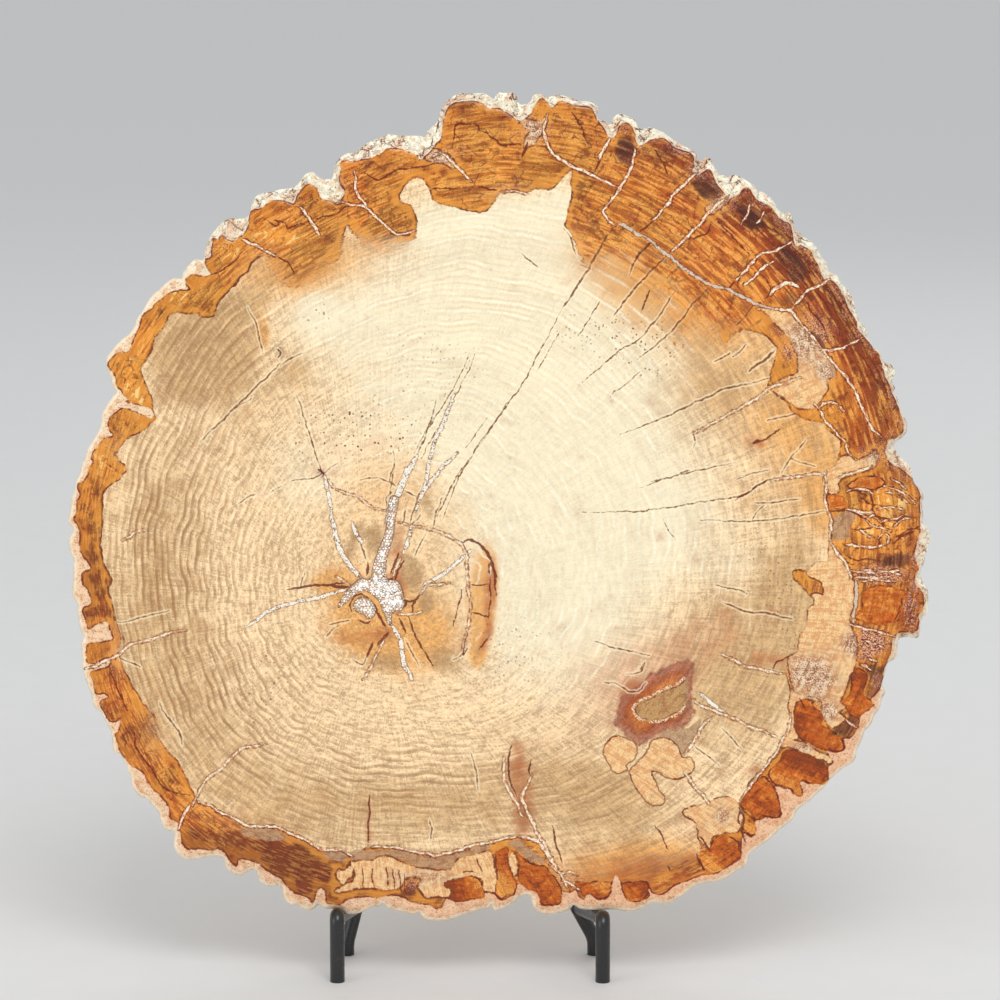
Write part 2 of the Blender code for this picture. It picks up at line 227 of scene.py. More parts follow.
# %% Draw the silhouette and the rind's inner border
OUTLINE = path("""
    142.1,311 150.3,297 160,288 169,279.5 175,277.5 181,278.5 182.5,272 190,263 196,258.5 202,260 204,253
    206,244 211,234 217,226 224,219.5 232,217.5 241,217.5 247.5,214.5 250,207.5 252.5,199.5 257,194
    264,191.7 271,190.4 279,188.3 292,186.5 299,181.3 303,175.3 308,171.4 312,170.5 316,174 320,177
    331,177.5 334,168 336,161 341,155 348,152 355.5,151.3 358.3,147.6 366,142.5 375,138 383,135.5
    389.5,132.5 395,134 403,134.5 420,134.7 425.2,136 427,130.3 433.3,124 437,121 439,113 441,108 446,100
    451,97 454.5,93.6 462,91.5 470,92.5 482,91.5 489,94.6 494,98 496,93.3 499.5,91 504,92 512,91.2
    516.5,94.6 518.5,101 521,103.3 528,102 531.3,99 533,94.6 537,92.5 543,93.5 547.3,96 552.5,94.6 560,93.5
    570,96 580,99.3 587,99.5 593,101.6 598.3,105.7 597.8,112 598.6,117.7 603,119.2 608.5,122.6 611.2,123
    613.5,117 617.4,113.4 620.8,112.4 628.5,115.2 635.3,119 637.4,124 641,127.2 645.5,127.4 649.3,126
    657,128.3 664,131.3 668,134 674.5,138.8 681,142.5 688,146.2 693,148.4 697,153 698.3,158.8 702,160
    704,158 708,156.2 711.7,158 713.6,163.8 718,169.4 720.2,174.3 724.5,174 727.5,176.8 731.5,174.8
    736.4,173.5 744.5,177.8 750.3,181.4 755.5,185.7 758.4,190.2 763,190.8 771,196.3 775.8,202 778.8,207.2
    783,212 789.4,211.3 793.2,215 795,222 795.5,229 801,231.7 807.6,237.6 814,242.4 818,247.5 822,255
    827.7,262.4 829.3,269 832.2,272.3 838.4,275 842.8,282.5 849.6,290.3 854,298 856.2,307 859,316
    862.4,322.5 866,326 869.5,332.7 867,335.5 871,339.3 876.2,348.8 880,349.6 883,356 886,362.8 891,363.5
    895.5,369 896.2,375.6 893.2,380.6 896.4,388.1 894.3,391.7 899,399 902,409 906,417.3 908,422 908.2,431
    902.4,438.2 897,441.8 894.5,446 900.5,456.2 907,462.1 912.3,468.7 913.3,474.6 915.2,482.8 920.4,487.9
    922.6,491.6 925.2,496.8 923.8,500.4 923.3,509.3 924.5,515.2 923.3,521.8 926.3,525.5 930.4,532.1
    930.7,540.3 928.9,549.1 927,555 924.8,565.3 921.6,570.5 921.9,577.1 924.8,583 928.5,588.9 929.5,596.3
    928.9,606.6 928,614 923.3,618.4 921.1,625.8 921.4,631.7 920.4,636.8 917.4,638.7 911.5,637.6 900.5,638.6
    898.8,646.4 898.6,653.8 895.5,659.3 888.1,663.8 886.6,671.6 883.9,679 882.9,684.9 885.9,692.2
    882.9,698.1 880,708.5 874.8,715.8 871.9,723.2 867.4,729.1 865.2,730.6 863,738 860.1,745.3 857.1,750.5
    856.4,757.1 852.7,763 843.8,768.2 836.5,774.1 829.8,780.7 825.4,786.6 815.8,795.4 809.9,801.3
    799.6,808.7 796.7,811.7 793.7,819 784.9,826.4 777.5,832.3 770.1,839.7 761.5,846 753.1,851.9 749.4,855.6
    748,861.5 745,867.4 736.9,871.1 729.5,877 719.2,881.4 707.4,882.9 697.1,885.9 689.7,890.3 683.8,895.4
    676.5,899.9 666.1,904.3 657.3,903.5 651.4,903 648.5,905.3 642.6,908.6 636.7,910.9 624.9,911.7
    617.5,910.2 604.2,910.2 589.5,910.2 579,908.8 574,905.5 568.8,910.5 558.7,913.5 549.9,915 541,913.5
    535.1,909.9 532.2,904 530,896.6 523.3,895.9 518.2,898.1 515.2,902.5 507.1,906.9 498.3,910.6 493.8,910.6
    491.6,904.7 489.4,908.4 479.1,910.6 470.3,913.5 459.9,916.5 452.6,919.4 443.7,921.4 431.9,920.9
    423.1,919.4 419.4,913.5 414.2,915 405.4,913.5 396.5,911.3 387.7,909.1 382.3,904.2 379,906.8 370.2,908.4
    362.8,912.1 355.4,914.3 346.6,914.3 340.7,910.6 333,909.3 326,909.1 321.5,906.9 317.8,905.4 314.2,909.1
    308.3,911 300.9,908.4 296.5,905.4 290.6,905.4 285.4,901.8 283,896.6 281.7,891.4 280,887 277.5,885.6
    273,887 267,886 261.1,883.3 258,878.2 255.7,872.3 252.2,870.1 247.1,872.3 243.4,875.2 239.7,876.7
    234.5,874.5 227.9,870.8 224.6,865.6 223.6,859.7 219,857.5 215.4,856.8 209.5,857.5 202.1,858 197.7,859.7
    187.4,860 179.9,856.8 174.9,850.8 173.3,846.4 173.6,840.5 174,834.5 172.4,831 169.1,831.7 164.7,828.7
    161,823.5 159.6,816.9 157.8,811.8 154.4,808.8 150.7,804.4 146.5,799.2 139.6,797 135.2,791.9 131.5,786
    130.3,780.1 130.3,775.9 128.5,773.4 126.6,767.5 123.4,760.9 119.7,755 114.5,752.8 112.3,747.6 112,741.7
    110.1,730.7 107.9,727 104.2,719.6 99.8,711.5 96.1,710 92.4,703.4 91,694.5 88,687.2 84.6,678.3
    82.1,667.6 81.6,655.5 80.8,647.2 81.9,640.5 84,637 81.7,634 79.5,626.6 77.3,613.3 77.3,605.2 73.6,598.6
    71.8,591.9 72.7,580.9 72.9,566.1 73.6,560.3 70.6,554.4 68,541.1 71.8,533.7 72.7,529.3 71.4,526.3
    68,523.4 68.4,518.2 69.9,508.7 71.4,498.3 73.8,491 75.3,482 79,474.5 81.5,465 85,457.5 86.3,451
    92,441.4 98.7,430.4 100.9,421.5 101.6,414.9 105.3,406.8 111.2,397.9 115.6,392 113.4,388.4 111.2,383.2
    110.4,377.3 107.2,371.4 105.3,362.6 105.8,357.6 111.2,350.8 119.3,341.2 129.6,333.1 134.8,324.2
    136.8,317.8
""")
RIND = path("""
    187,290 181,290 175,292 169,293 162,298 155,303 152,308 144,313 141,320 139,327 135,335 130,348 127,352
    117,353 108,363 110,369 115,376 116,386 121,390 124,396 130,400 122,401 137,404 152,410 153,416 150,418
    136,412 122,408 116,413 111,416 108,425 110,432 113,436 105,438 100,443 94,451 91,458 93,462 88,468
    89,472 85,479 78,484 77,487 80,496 77,501 76,513 74,520 77,526 80,534 80,543 81,554 88,562 90,569
    82,573 83,584 87,590 90,597 90,605 82,609 85,619 87,627 90,629 97,624 107,622 110,629 113,638 109,641
    102,642 89,643 86,653 87,662 90,664 96,663 106,658 110,659 109,666 100,669 90,672 93,681 95,692 98,694
    103,693 108,697 100,702 102,709 109,720 116,722 120,718 119,729 115,734 117,742 119,749 122,755 127,761
    132,767 140,770 144,774 148,782 153,789 163,799 169,807 170,817 175,821 178,824 181,836 182,843 188,849
    199,849 212,851 218,848 224,852 228,857 230,861 236,866 239,860 248,860 257,863 267,870 276,876 282,879
    286,886 291,891 299,894 308,898 313,903 316,894 321,888 326,893 326,902 332,904 341,905 347,900 354,898
    363,897 370,897 378,898 385,896 392,895 401,897 407,899 411,902 422,904 429,905 437,909 442,907 444,902
    447,898 454,901 464,901 476,899 484,898 485,892 491,893 495,894 498,898 501,900 509,897 515,893 517,885
    522,885 528,890 535,891 539,897 541,905 547,906 557,905 562,900 562,891 570,893 576,890 579,897 584,900
    586,895 591,894 596,899 606,898 611,892 612,882 616,875 621,882 622,889 625,897 628,901 640,901 649,896
    647,882 652,892 660,895 668,891 675,885 685,882 697,877 703,875 710,875 721,871 735,862 741,857 741,842
    743,836 744,832 751,837 756,832 756,828 755,820 760,820 765,817 772,818 780,817 781,811 778,797 775,786
    783,788 790,789 792,793 800,797 803,793 800,783 803,781 808,783 817,784 825,784 829,776 828,767 833,762
    826,751 836,752 845,749 844,741 842,739 851,737 856,731 859,725 859,719 864,713 874,705 871,700 879,691
    881,686 883,679 884,669 888,660 892,650 892,641 899,633 906,632 917,631 919,621 918,615 922,610 924,601
    923,593 919,589 915,582 915,573 919,570 914,556 916,545 919,534 920,524 920,500 919,492 914,481 910,477
    900,468 892,465 887,458 885,449 889,440 897,437 903,431 902,417 896,403 891,390 886,378 882,367 879,355
    872,346 865,337 858,330 856,321 849,310 846,303 844,297 840,290 835,284 829,280 824,279 821,272 816,262
    811,252 806,248 801,245 796,247 793,238 792,230 790,224 785,222 779,218 774,210 768,205 763,203 757,200
    753,194 749,188 744,189 738,195 730,198 725,194 719,187 714,178 710,170 704,172 698,175 692,172 694,165
    693,157 688,152 680,150 673,147 668,141 660,138 650,140 640,146 636,141 633,128 626,123 620,126 616,135
    610,138 605,130 599,122 595,115 590,107 575,105 560,101 553,108 547,102 541,98 536,104 530,114 521,121
    515,118 505,112 498,108 487,108 480,102 460,102 452,104 447,110 443,122 442,132 440,140 437,143 430,152
    420,160 417,156 412,153 400,149 390,148 384,151 380,154 370,158 360,160 352,162 346,160 340,163 341,168
    339,178 341,185 345,192 341,200 335,202 322,199 318,192 314,186 308,184 303,188 297,197 294,204 283,201
    272,200 267,204 262,208 251,211 249,218 248,226 245,233 240,237 233,241 227,239 221,235 219,240 213,239
    212,245 211,257 206,259 206,266 209,271 211,275 200,276 192,274 187,278 186,284 190,289
""")
print(len(OUTLINE), "places on the silhouette,", len(RIND), "on the rind's border")

# %% [markdown]
# ## The stained ring, and the patches in it
#
# Iron stained the outer wood orange. The ring's inner border is crisp where a crack or a rim of silica
# stopped the stain, and soft where it seeped on. Pale patches in the ring stayed clear of it, and a few of
# its blocks stand alone.

# %% Draw the stained ring's inner border
HEARTWOOD = path("""
    217,308 219,302 223,297 229,291 235,285 240,277 248,271 250,265 256,259 262,254 275,266 288,280 300,284
    312,276 325,268 335,262 340,255 342,250 344,240 345,228 348,225 352,232 358,236 362,241 366,247 385,247
    400,245 412,241 416,234 417,225 416,215 413,208 410,204 405,203 400,200 399,197 402,190 405,185 411,180
    417,178 423,179 426,184 429,188 431,195 433,200 440,204 450,206 460,209 470,211 480,212 487,210 492,206
    496,200 499,195 502,193 510,192 525,192 535,189 545,189 552,189 556,185 561,180 566,175 571,171 571,176
    570,183 572,190 572,198 570,203 568,209 567,217 565,224 567,228 571,234 574,242 577,249 580,258 588,266
    600,262 615,259 626,262 633,268 641,276 650,284 660,291 672,299 683,308 680,318 677,330 675,345 679,332
    688,323 702,321 712,328 716,336 723,344 731,337 742,330 749,331 762,334 771,341 776,348 775,357 771,368
    770,376 768,388 776,394 787,403 793,412 808,420 824,424 827,430 836,436 841,443 838,456 834,466 826,472
    825,485 826,498 827,507 830,517 832,527 829,535 831,543 829,551 827,560 815,563 809,570 800,570 793,572
    793,578 801,586 808,594 814,600 814,604 808,610 806,627 800,634 799,645 797,652 790,656 789,663 785,672
    788,680 791,695 787,705 790,715 789,730 783,740 780,750 770,762 757,778 748,790 740,802 735,800 725,797
    712,800 704,804 690,806 682,812 687,818 695,822 698,835 701,852 695,860 673,867 651,873 647,878 632,880
    621,882 608,881 590,882 575,880 565,881 556,868 550,857 541,843 535,840 520,837 510,837 500,840 490,843
    470,845 465,849 445,853 435,856 425,852 410,851 400,848 370,847 357,853 352,857 340,850 320,849 310,842
    290,833 275,827 260,827 245,825 235,819 215,809 198,802 195,795 190,785 180,765 172,755 160,740 155,728
    150,712 140,698 132,685 125,670 118,655 122,640 117,625 113,605 108,590 112,580 107,570 103,560 101,545
    102,530 103,510 103,495 110,485 118,480 126,470 122,463 115,455 123,445 130,437 145,430 150,423 157,418
    153,412 152,400 148,390 143,378 141,368 147,360 152,350 155,338 160,332 165,325 171,315 180,313 190,314
    198,313 200,317 213,316
""")
print(len(HEARTWOOD), "places on the ring's inner border")

# %% Draw the pale patches
PALE_PATCHES = closed_lines("""
    829,545 832,541 838,553 847,566 853,575 854,593 853,608 850,621 856,640 856,660 851,676 845,692 838,703
    829,705 819,699 812,697 797,693 791,678 789,663 790,656 797,652 799,645 800,634 806,627 808,610 814,604
    814,600 811,596 817,592 823,594 823,586 817,580 810,577 807,573 809,570 815,563 827,560 /
    757,309 767,314 776,325 785,335 794,346 798,360 797,373 785,377 774,384 767,389 776,393 787,400 796,407
    804,409 813,408 822,399 828,388 826,380 836,376 833,362 822,348 813,339 801,325 792,316 780,311
    767,309 /
    835,466 841,457 850,455 857,460 866,456 875,451 878,460 873,468 862,471 851,476 840,480 839,490 835,494
    828,493 824,485 824,476 828,470 /
    604,750 608,741 616,736 625,737 632,741 637,747 636,757 630,762 626,766 628,770 620,773 614,772 610,765
    605,757 /
    630,771 640,760 648,750 652,741 660,738 668,739 676,744 680,752 684,757 690,756 694,763 693,770 684,776
    674,779 664,776 656,772 652,772 655,780 660,790 665,799 662,805 655,806 648,803 643,797 635,787 /
    682,812 690,806 704,804 712,800 725,797 735,800 742,808 744,815 741,825 738,832 725,833 712,838 709,848
    703,845 698,835 695,822 687,818 /
    786,738 799,741 815,750 830,757 831,763 816,758 802,752 786,747 780,751 783,743 /
    350,863 359,861 373,860 381,856 390,857 399,860 408,865 420,868 433,869 450,869 457,860 463,857 473,855
    480,853 490,851 493,857 495,867 497,877 496,885 495,892 488,892 483,890 482,880 475,877 463,877 453,880
    445,882 443,885 450,890 448,897 437,897 427,897 422,892 418,886 421,880 415,875 410,877 404,880 400,888
    386,890 370,888 356,889 346,891 336,892 340,887 350,883 354,879 355,872 /
    336,876 339,870 345,870 350,865 354,868 353,874 350,878 347,880 343,884 339,881 /
    424,158 430,150 440,150 449,156 456,163 452,168 444,164 434,162 /
    519,118 530,119 540,122 546,117 546,128 540,136 532,144 524,148 526,138 530,130 523,126 /
    334,178 341,184 344,194 342,203 335,203 331,196 334,188 /
    706,208 716,200 728,194 731,198 722,206 712,214 /
    790,689 797,693 812,697 822,700 815,700 806,699 797,702 795,708 794,716 794,728 799,737 789,741 783,746
    779,748 783,740 788,730 790,718 788,706 790,698 /
    824,700 838,703 846,708 840,712 846,719 838,724 832,728 826,722 822,712 /
    508,862 512,853 517,858 518,867 517,874 514,877 511,871
""")
print(len(PALE_PATCHES), "pale patches")

# %% [markdown]
# The orange blocks have a plain, glassy look. Two stray ones stand apart from the ring, and a few small
# ones are nearly black.

# %% Draw the orange and the dark blocks
STRAY_BLOCKS = closed_lines("""
    792,572 801,570 807,573 810,578 817,579 823,585 823,593 817,592 811,595 806,589 798,581 /
    767,313 776,320 787,331 792,343 797,352 798,362 794,373 784,376 773,381 770,376 771,368 775,357 776,348
    771,341 762,334 752,328 745,323 757,322 765,323
""")
AMBER = closed_lines("""
    797,702 806,699 815,700 812,704 818,710 824,717 822,724 831,730 838,736 842,739 845,749 838,751 828,750
    818,748 808,743 799,737 794,728 794,716 795,708 /
    854,668 862,670 868,676 866,684 864,694 870,700 875,704 868,711 861,719 852,716 848,711 840,702 850,695
    851,684 /
    769,772 777,762 783,752 790,750 800,752 812,756 822,762 828,768 829,776 824,783 812,783 803,780 800,784
    803,790 800,796 795,794 790,789 783,786 775,784 770,779 /
    740,801 750,790 757,781 764,777 772,785 776,793 780,803 781,812 777,818 768,817 762,816 757,820 750,812
    743,807 /
    744,812 752,818 755,822 757,828 753,835 748,834 743,827 741,820 /
    710,848 712,842 720,836 726,834 733,838 738,844 741,852 742,859 736,862 727,870 713,873 701,866
    698,855 /
    870,587 879,586 892,587 902,590 906,594 901,600 902,605 900,615 896,621 883,625 870,624 861,620 856,617
    859,610 863,608 862,601 864,591 /
    847,486 856,479 868,476 880,478 884,484 876,489 866,490 856,491 /
    443,884 446,879 453,880 463,877 475,877 480,881 483,887 484,892 482,898 470,899 462,902 453,902 450,897
    448,890 444,888 /
    495,853 503,848 508,848 508,862 512,873 517,883 516,891 508,895 500,898 495,892 495,885 497,875
    496,865 /
    511,850 517,853 528,862 538,866 545,867 552,875 558,883 562,890 562,902 553,905 542,905 540,897 535,892
    527,889 521,884 518,877 519,867 517,858 /
    576,882 590,882 604,882 612,884 610,893 602,898 590,898 580,893 /
    622,884 636,882 647,882 648,892 642,900 630,901 624,894 /
    828,494 840,495 846,502 847,508 838,509 828,509
""")
DARK = closed_lines("""
    697,175 706,176 716,183 722,192 719,200 708,199 699,193 694,184 /
    896,553 904,552 910,557 908,565 898,567 888,566 878,567 884,560 /
    846,716 857,719 860,726 853,735 845,738 838,736 830,733 836,728 842,722 /
    866,668 874,664 883,668 884,680 883,688 875,696 869,699 866,692 872,684 868,676 /
    818,754 824,755 831,759 834,762 829,768 824,764 817,760 /
    738,207 750,206 764,214 766,224 752,228 742,219 /
    780,246 792,252 802,262 806,276 796,284 786,276 790,266 780,258 /
    622,136 634,142 636,152 628,166 618,160 616,148 /
    277,350 281,347 284,351 281,357 277,355 /
    412,869 416,869 416,877 412,877 /
    431,889 435,889 435,894 431,894 /
    383,859 390,857 396,861 390,865 384,864 /
    319,472 323,469 326,473 323,478 319,476 /
    806,330 818,336 826,346 816,350 806,342
""")
print(len(STRAY_BLOCKS + AMBER), "orange blocks and", len(DARK), "dark ones")

# %% Draw the nodule and the grey lenses
NODULE = path("""
    615,720 620,701 627,694 640,684 651,673 664,668 680,662 690,660 694,670 691,684 692,700 694,712 688,724
    676,730 664,731 655,737 640,746 631,740 623,732 617,727
""")
NODULE_HEART = path("""
    634,710 639,703 651,697 668,688 679,683 687,679 688,696 684,708 677,714 664,720 651,721 642,720
""")
SLATE = closed_lines("""
    659,736 670,729 690,727 701,718 697,734 686,751 681,755 677,746 670,741 /
    833,518 842,513 856,513 854,522 849,530 850,536 842,540 834,540 831,530 /
    240,830 252,826 268,828 280,832 286,838 274,841 256,839 244,836 /
    350,853 358,850 372,850 387,850 400,850 413,853 425,855 435,857 447,854 463,851 470,848 478,846 490,845
    488,850 474,854 463,856 457,860 452,868 437,868 420,867 410,864 400,859 390,856 381,855 374,859 360,861
    352,861 /
    508,842 520,840 528,848 537,853 545,860 543,863 532,861 518,852 510,845 /
    322,849 336,848 343,850 347,857 345,861 332,860 324,857
""")
print(len(SLATE), "grey lenses")

# %% [markdown]
# ## Veins and cracks
#
# Water found every crack. Wide ones healed with milky quartz and have a rust-brown seam on each side,
# others stayed a thin dark line. Each is a width in pixels and a line; a line thins out towards both of its
# ends.

# %% Draw the milky veins
MILKY = drawn("""
    2.1 547,114 545,124 544,131 546,139 549,148 554,155 561,160 570,165 580,170 590,174 600,179 610,183
        620,188
    1.7 635,147 634,155 633,163 631,170 627,177 622,184 617,192 612,200 606,207 603,211 605,215 609,220
        616,226
    2.0 729,196 720,203 712,209 707,213 702,221 696,228 688,236 680,244 671,252
    2.0 698,173 690,179 684,185 678,190 673,195 670,201 664,208 657,216 652,220
    1.7 792,242 780,249 770,252 762,253 756,258 750,266 742,274 734,282
    1.5 775,261 766,266 758,272 752,279 744,285
    2.9 769,295 775,289 782,285 790,283 799,288
    1.7 830,279 820,285 812,288 805,293 799,301 791,309
    2.4 610,138 605,146 602,152 599,160
    1.6 355,171 356,180 355,188 357,194 362,200 368,208
    1.6 339,201 350,205 360,206 368,209 375,216 382,222 388,228 394,233 398,235 406,233 416,231
    1.9 440,152 446,156 452,161 458,167 464,174 471,181
    1.1 501,192 510,191 520,192 529,194
    1.9 775,309 783,310 792,313 800,322 810,334 819,346
    1.6 819,346 830,359 840,370 848,380 856,393 862,408 870,425 881,437
    1.4 820,349 832,350 842,348 852,343 863,336
    1.4 814,403 820,411 828,424 838,435 845,442 848,451 857,460
    1.5 826,473 815,474 803,476 790,477 771,480
    1.5 826,476 826,490 826,505 830,516 832,527 829,536 832,543
    1.9 832,543 838,553 847,566 852,578
    1.5 846,509 856,511 866,513 874,513
    1.5 838,478 850,474 862,470 873,465
    1.5 844,544 859,546 874,547 887,544
    1.5 850,624 862,628 877,631 895,637
    1.9 86,669 96,666 106,660 118,655 130,645 150,640 170,633 186,630
    1.7 122,541 132,535 141,531 149,530
    1.6 370,847 385,847 400,848 410,851 425,853 436,856 446,853 460,850 470,846 485,843 500,840 511,837
        522,837
    2.5 522,837 533,839 541,845 549,857 557,869
    1.9 504,756 504,768 505,780 510,793 517,805 523,816
    2.1 533,774 527,785 521,797 526,808 533,823 540,838 548,852 556,867
    1.6 198,802 207,805 215,809 225,814 235,819 245,825 260,827 275,827 290,833 310,842 320,849 340,850
        353,857
    1.9 190,804 184,815 178,830
    2.1 683,771 688,777 692,783 698,790 703,796 709,803
    1.6 692,699 704,707 718,712 735,719 750,727 765,731 776,737
    1.9 714,716 706,722 700,729 697,737 691,745 685,754
    1.4 790,714 789,729 783,740 776,753 762,771 748,790 740,801
    1.6 720,653 733,660 745,666 760,669 772,672 784,674
    1.6 266,744 250,747 241,749 232,757 221,768 210,776 202,786 197,796 191,808
    1.2 328,480 335,488 345,493 358,496 364,501 372,507 385,511
    1.2 395,520 410,526 420,527 430,529 440,532 452,538 462,545 466,555 467,570 468,585 470,600 470,612
        467,628 463,650
    1.1 848,508 857,512 866,517 875,516
    1.7 242,239 250,243 257,246 262,249 268,252 276,256
    1.9 300,207 306,214 310,219 313,224 316,229 319,235
    1.6 800,378 785,383 770,388 757,398 740,408 722,418 706,427 693,434
    1.3 402,556 398,564 395,570 393,576
    1.1 393,612 400,614 408,614 416,614 422,612
    1.2 385,638 378,652 373,662 368,672 362,680
    1.1 336,577 343,581 350,585
    1.0 425,588 433,585 441,584 450,583
    0.9 818,408 830,402 838,405 845,411
    1.0 750,205 748,212 744,220 741,225
    1.0 764,212 760,219 757,223
    0.9 850,571 868,573 886,572 902,575
    0.9 856,577 872,578 890,577
    0.8 862,640 876,645 888,650
    1.2 846,719 851,724 857,728
    1.3 869,658 874,660 879,662
    1.5 860,664 866,667 873,670
    0.9 857,571 872,570 888,572 900,570
    0.9 862,581 878,580 896,582
    0.9 545,860 553,868 560,873 570,872 578,876
    0.8 560,873 565,882 570,892
    0.8 562,880 572,884 580,890
    0.8 846,492 856,488 866,490 874,494
    0.7 884,486 897,490 907,496 915,503
    0.7 886,492 901,498 909,503
    0.6 876,509 891,507 905,511
    0.7 878,521 893,519 903,515
    0.7 878,538 882,534 889,536 888,544
    0.6 894,526 901,520 910,518
    0.6 866,520 872,526 880,528 890,531
    0.6 860,530 868,536 876,537
    0.6 890,478 898,482 906,489
""")
print(len(MILKY), "milky veins")

# %% Draw the grey veins, which are quartz without the rust
GREY = drawn("""
    1.9 618,224 626,226 633,231 640,236
    1.4 636,233 645,237 652,242 662,251 669,256 677,263 686,270 696,277 706,283 716,286 727,289 736,294
        746,299 756,304 766,307 778,310
    1.8 856,580 856,600 853,622
    1.6 698,693 706,698 716,707 728,715
    3.0 331,512 333,525 337,540 341,552 347,562 354,571 362,578
    1.6 345,590 335,592 320,597 305,600 290,603 275,608 262,616 248,626
    1.6 411,527 409,536 406,546 403,554
    2.6 391,624 396,633 401,642 402,654 404,664 409,672 413,680
    2.6 352,522 355,531 358,537 362,543
    1.5 420,594 428,583 437,578 446,572 458,562 470,551
    4.4 386,524 389,514 393,504 398,494 402,484 407,473 412,464 417,456
    1.7 455,393 452,402 446,416 440,430 434,444 430,460 427,476 423,490
    1.4 458,452 448,462 440,470 432,480 425,490 420,500 415,512
    1.6 324,476 327,488 330,500 331,512
""")
print(len(GREY), "grey veins")

# %% Draw the red-brown lines
RUST = drawn("""
    1.3 452,147 454,136 455,128 458,124 466,124 475,124 479,127 480,131 487,133 491,137 497,141 501,145
        510,145 520,144
    1.3 361,173 366,173 372,177 378,180 386,176 398,170 410,168 425,166 435,164
    1.1 335,214 328,216 316,219
    1.1 337,213 343,208 351,206
    1.0 430,190 436,188 445,188 456,189
    1.4 477,186 485,188 497,190
    1.4 640,232 648,226 655,219
    1.6 652,242 645,248 640,254 635,262
    2.4 527,142 525,150 523,157
    1.9 600,158 597,166 595,172
    1.2 715,216 722,226 732,237 742,247 749,253
    1.1 760,273 766,279 770,287 769,295 764,299
    1.3 735,281 730,287 727,290
    1.3 258,247 252,243 246,238
    1.3 262,254 256,259 250,265 248,271 240,277 235,285 229,291 223,297 219,302 217,308
    1.1 262,218 267,220 272,223 276,226 280,223 275,220 280,221 285,224 288,229 292,227 297,225 303,224
        308,226
    1.1 245,250 240,256 233,262 225,268 217,273 211,275
    1.3 894,538 901,534 908,530 921,526
    2.1 826,511 838,511 847,510 856,514 863,517 872,516 883,518 895,520
    1.3 770,480 765,481 755,488 745,495 735,500
    1.6 740,812 738,818 741,825
    1.2 109,668 113,678 118,690 123,701 128,712
    1.2 133,728 135,745 142,757 150,767 158,780 168,790 190,795
    1.9 287,590 298,588 310,586 328,585 346,583
    1.2 369,795 369,815 368,846
    1.3 552,825 556,845 562,862
    1.0 470,585 480,585 490,584
    1.0 467,612 480,614 488,617
    1.2 655,825 662,835 668,850
    1.6 746,788 752,780 758,772
    1.2 790,656 783,660 776,663 772,670
    1.3 800,699 805,709
    1.3 697,853 700,862 704,871
    1.1 668,866 669,872
    1.4 755,443 764,440 773,434 782,428
    2.8 752,444 756,442 760,442
    1.8 462,543 470,540 480,544 488,552 493,565 497,580
    1.6 893,544 899,538 906,534 914,531
    1.4 878,534 879,541 878,548
    1.6 871,493 873,500 873,510 874,516
    1.2 850,488 860,492 868,497
    1.4 512,742 509,754 508,768 512,784 518,800
    1.2 531,760 529,770 531,776
    1.6 700,836 706,846 712,852
    1.4 739,806 744,818 742,832 746,844
    1.8 399,553 397,560 393,567 391,575
    1.6 404,560 400,567 396,576 394,582
    3.2 383,578 388,580 393,579
    2.4 396,582 400,588 404,594
    2.6 404,598 405,604 401,609
    1.8 405,600 411,601 416,599 420,594
    1.3 415,600 413,606 413,612
    2.6 389,632 385,637 380,642 377,645
    2.0 373,642 370,650 367,658
    2.2 374,604 377,612 381,620 387,628
    1.6 399,618 403,626 406,633
    1.4 408,616 411,625 415,635 420,645 425,652 430,660 434,668
    3.0 330,585 340,587 349,586
    2.2 368,562 368,570 367,575
    1.2 276,256 285,260 291,266 294,276
    1.4 650,290 646,300 641,312
    1.2 712,222 708,232 700,236 692,240
    1.6 806,300 812,312 820,322 826,330
    1.6 816,290 824,302 832,316
    1.4 828,286 836,300 842,314
    1.5 858,352 868,366 878,384
    1.4 872,360 882,380 890,402
    1.3 880,410 886,420 890,432
    1.2 430,100 438,118 436,132
    1.3 572,112 580,124 586,140
    1.2 655,150 662,162 668,176
    1.6 464,542 470,539 478,543 486,551 491,561 494,572 495,584 496,596
    1.0 462,590 460,602 456,614 453,626
    1.2 466,628 466,638 464,648 463,656
    1.0 488,560 490,580 490,600 488,620
    1.0 478,650 484,644 490,634
    0.9 386,866 387,876 388,888
    0.9 393,868 394,880 395,890
    0.8 399,868 400,880 401,892
    0.8 404,872 404,884 406,894
    0.8 372,868 373,880 374,887
    0.8 362,866 363,876 363,886
    1.0 900,606 898,614 894,620
    0.9 463,872 470,871 477,873
    0.8 476,856 478,864 482,872
    0.8 856,660 862,664 870,668
    2.2 318,469 322,472 324,476
    1.0 846,556 858,560 870,559 882,562
    1.0 850,528 862,530 874,527
    1.0 862,498 870,504 880,506 890,512
    0.9 868,516 876,520 886,528
    1.2 368,598 360,594 353,598 350,606 352,612
    1.6 358,620 366,623 372,620
    1.0 836,556 846,562 856,566
""")
print(len(RUST), "rust lines")

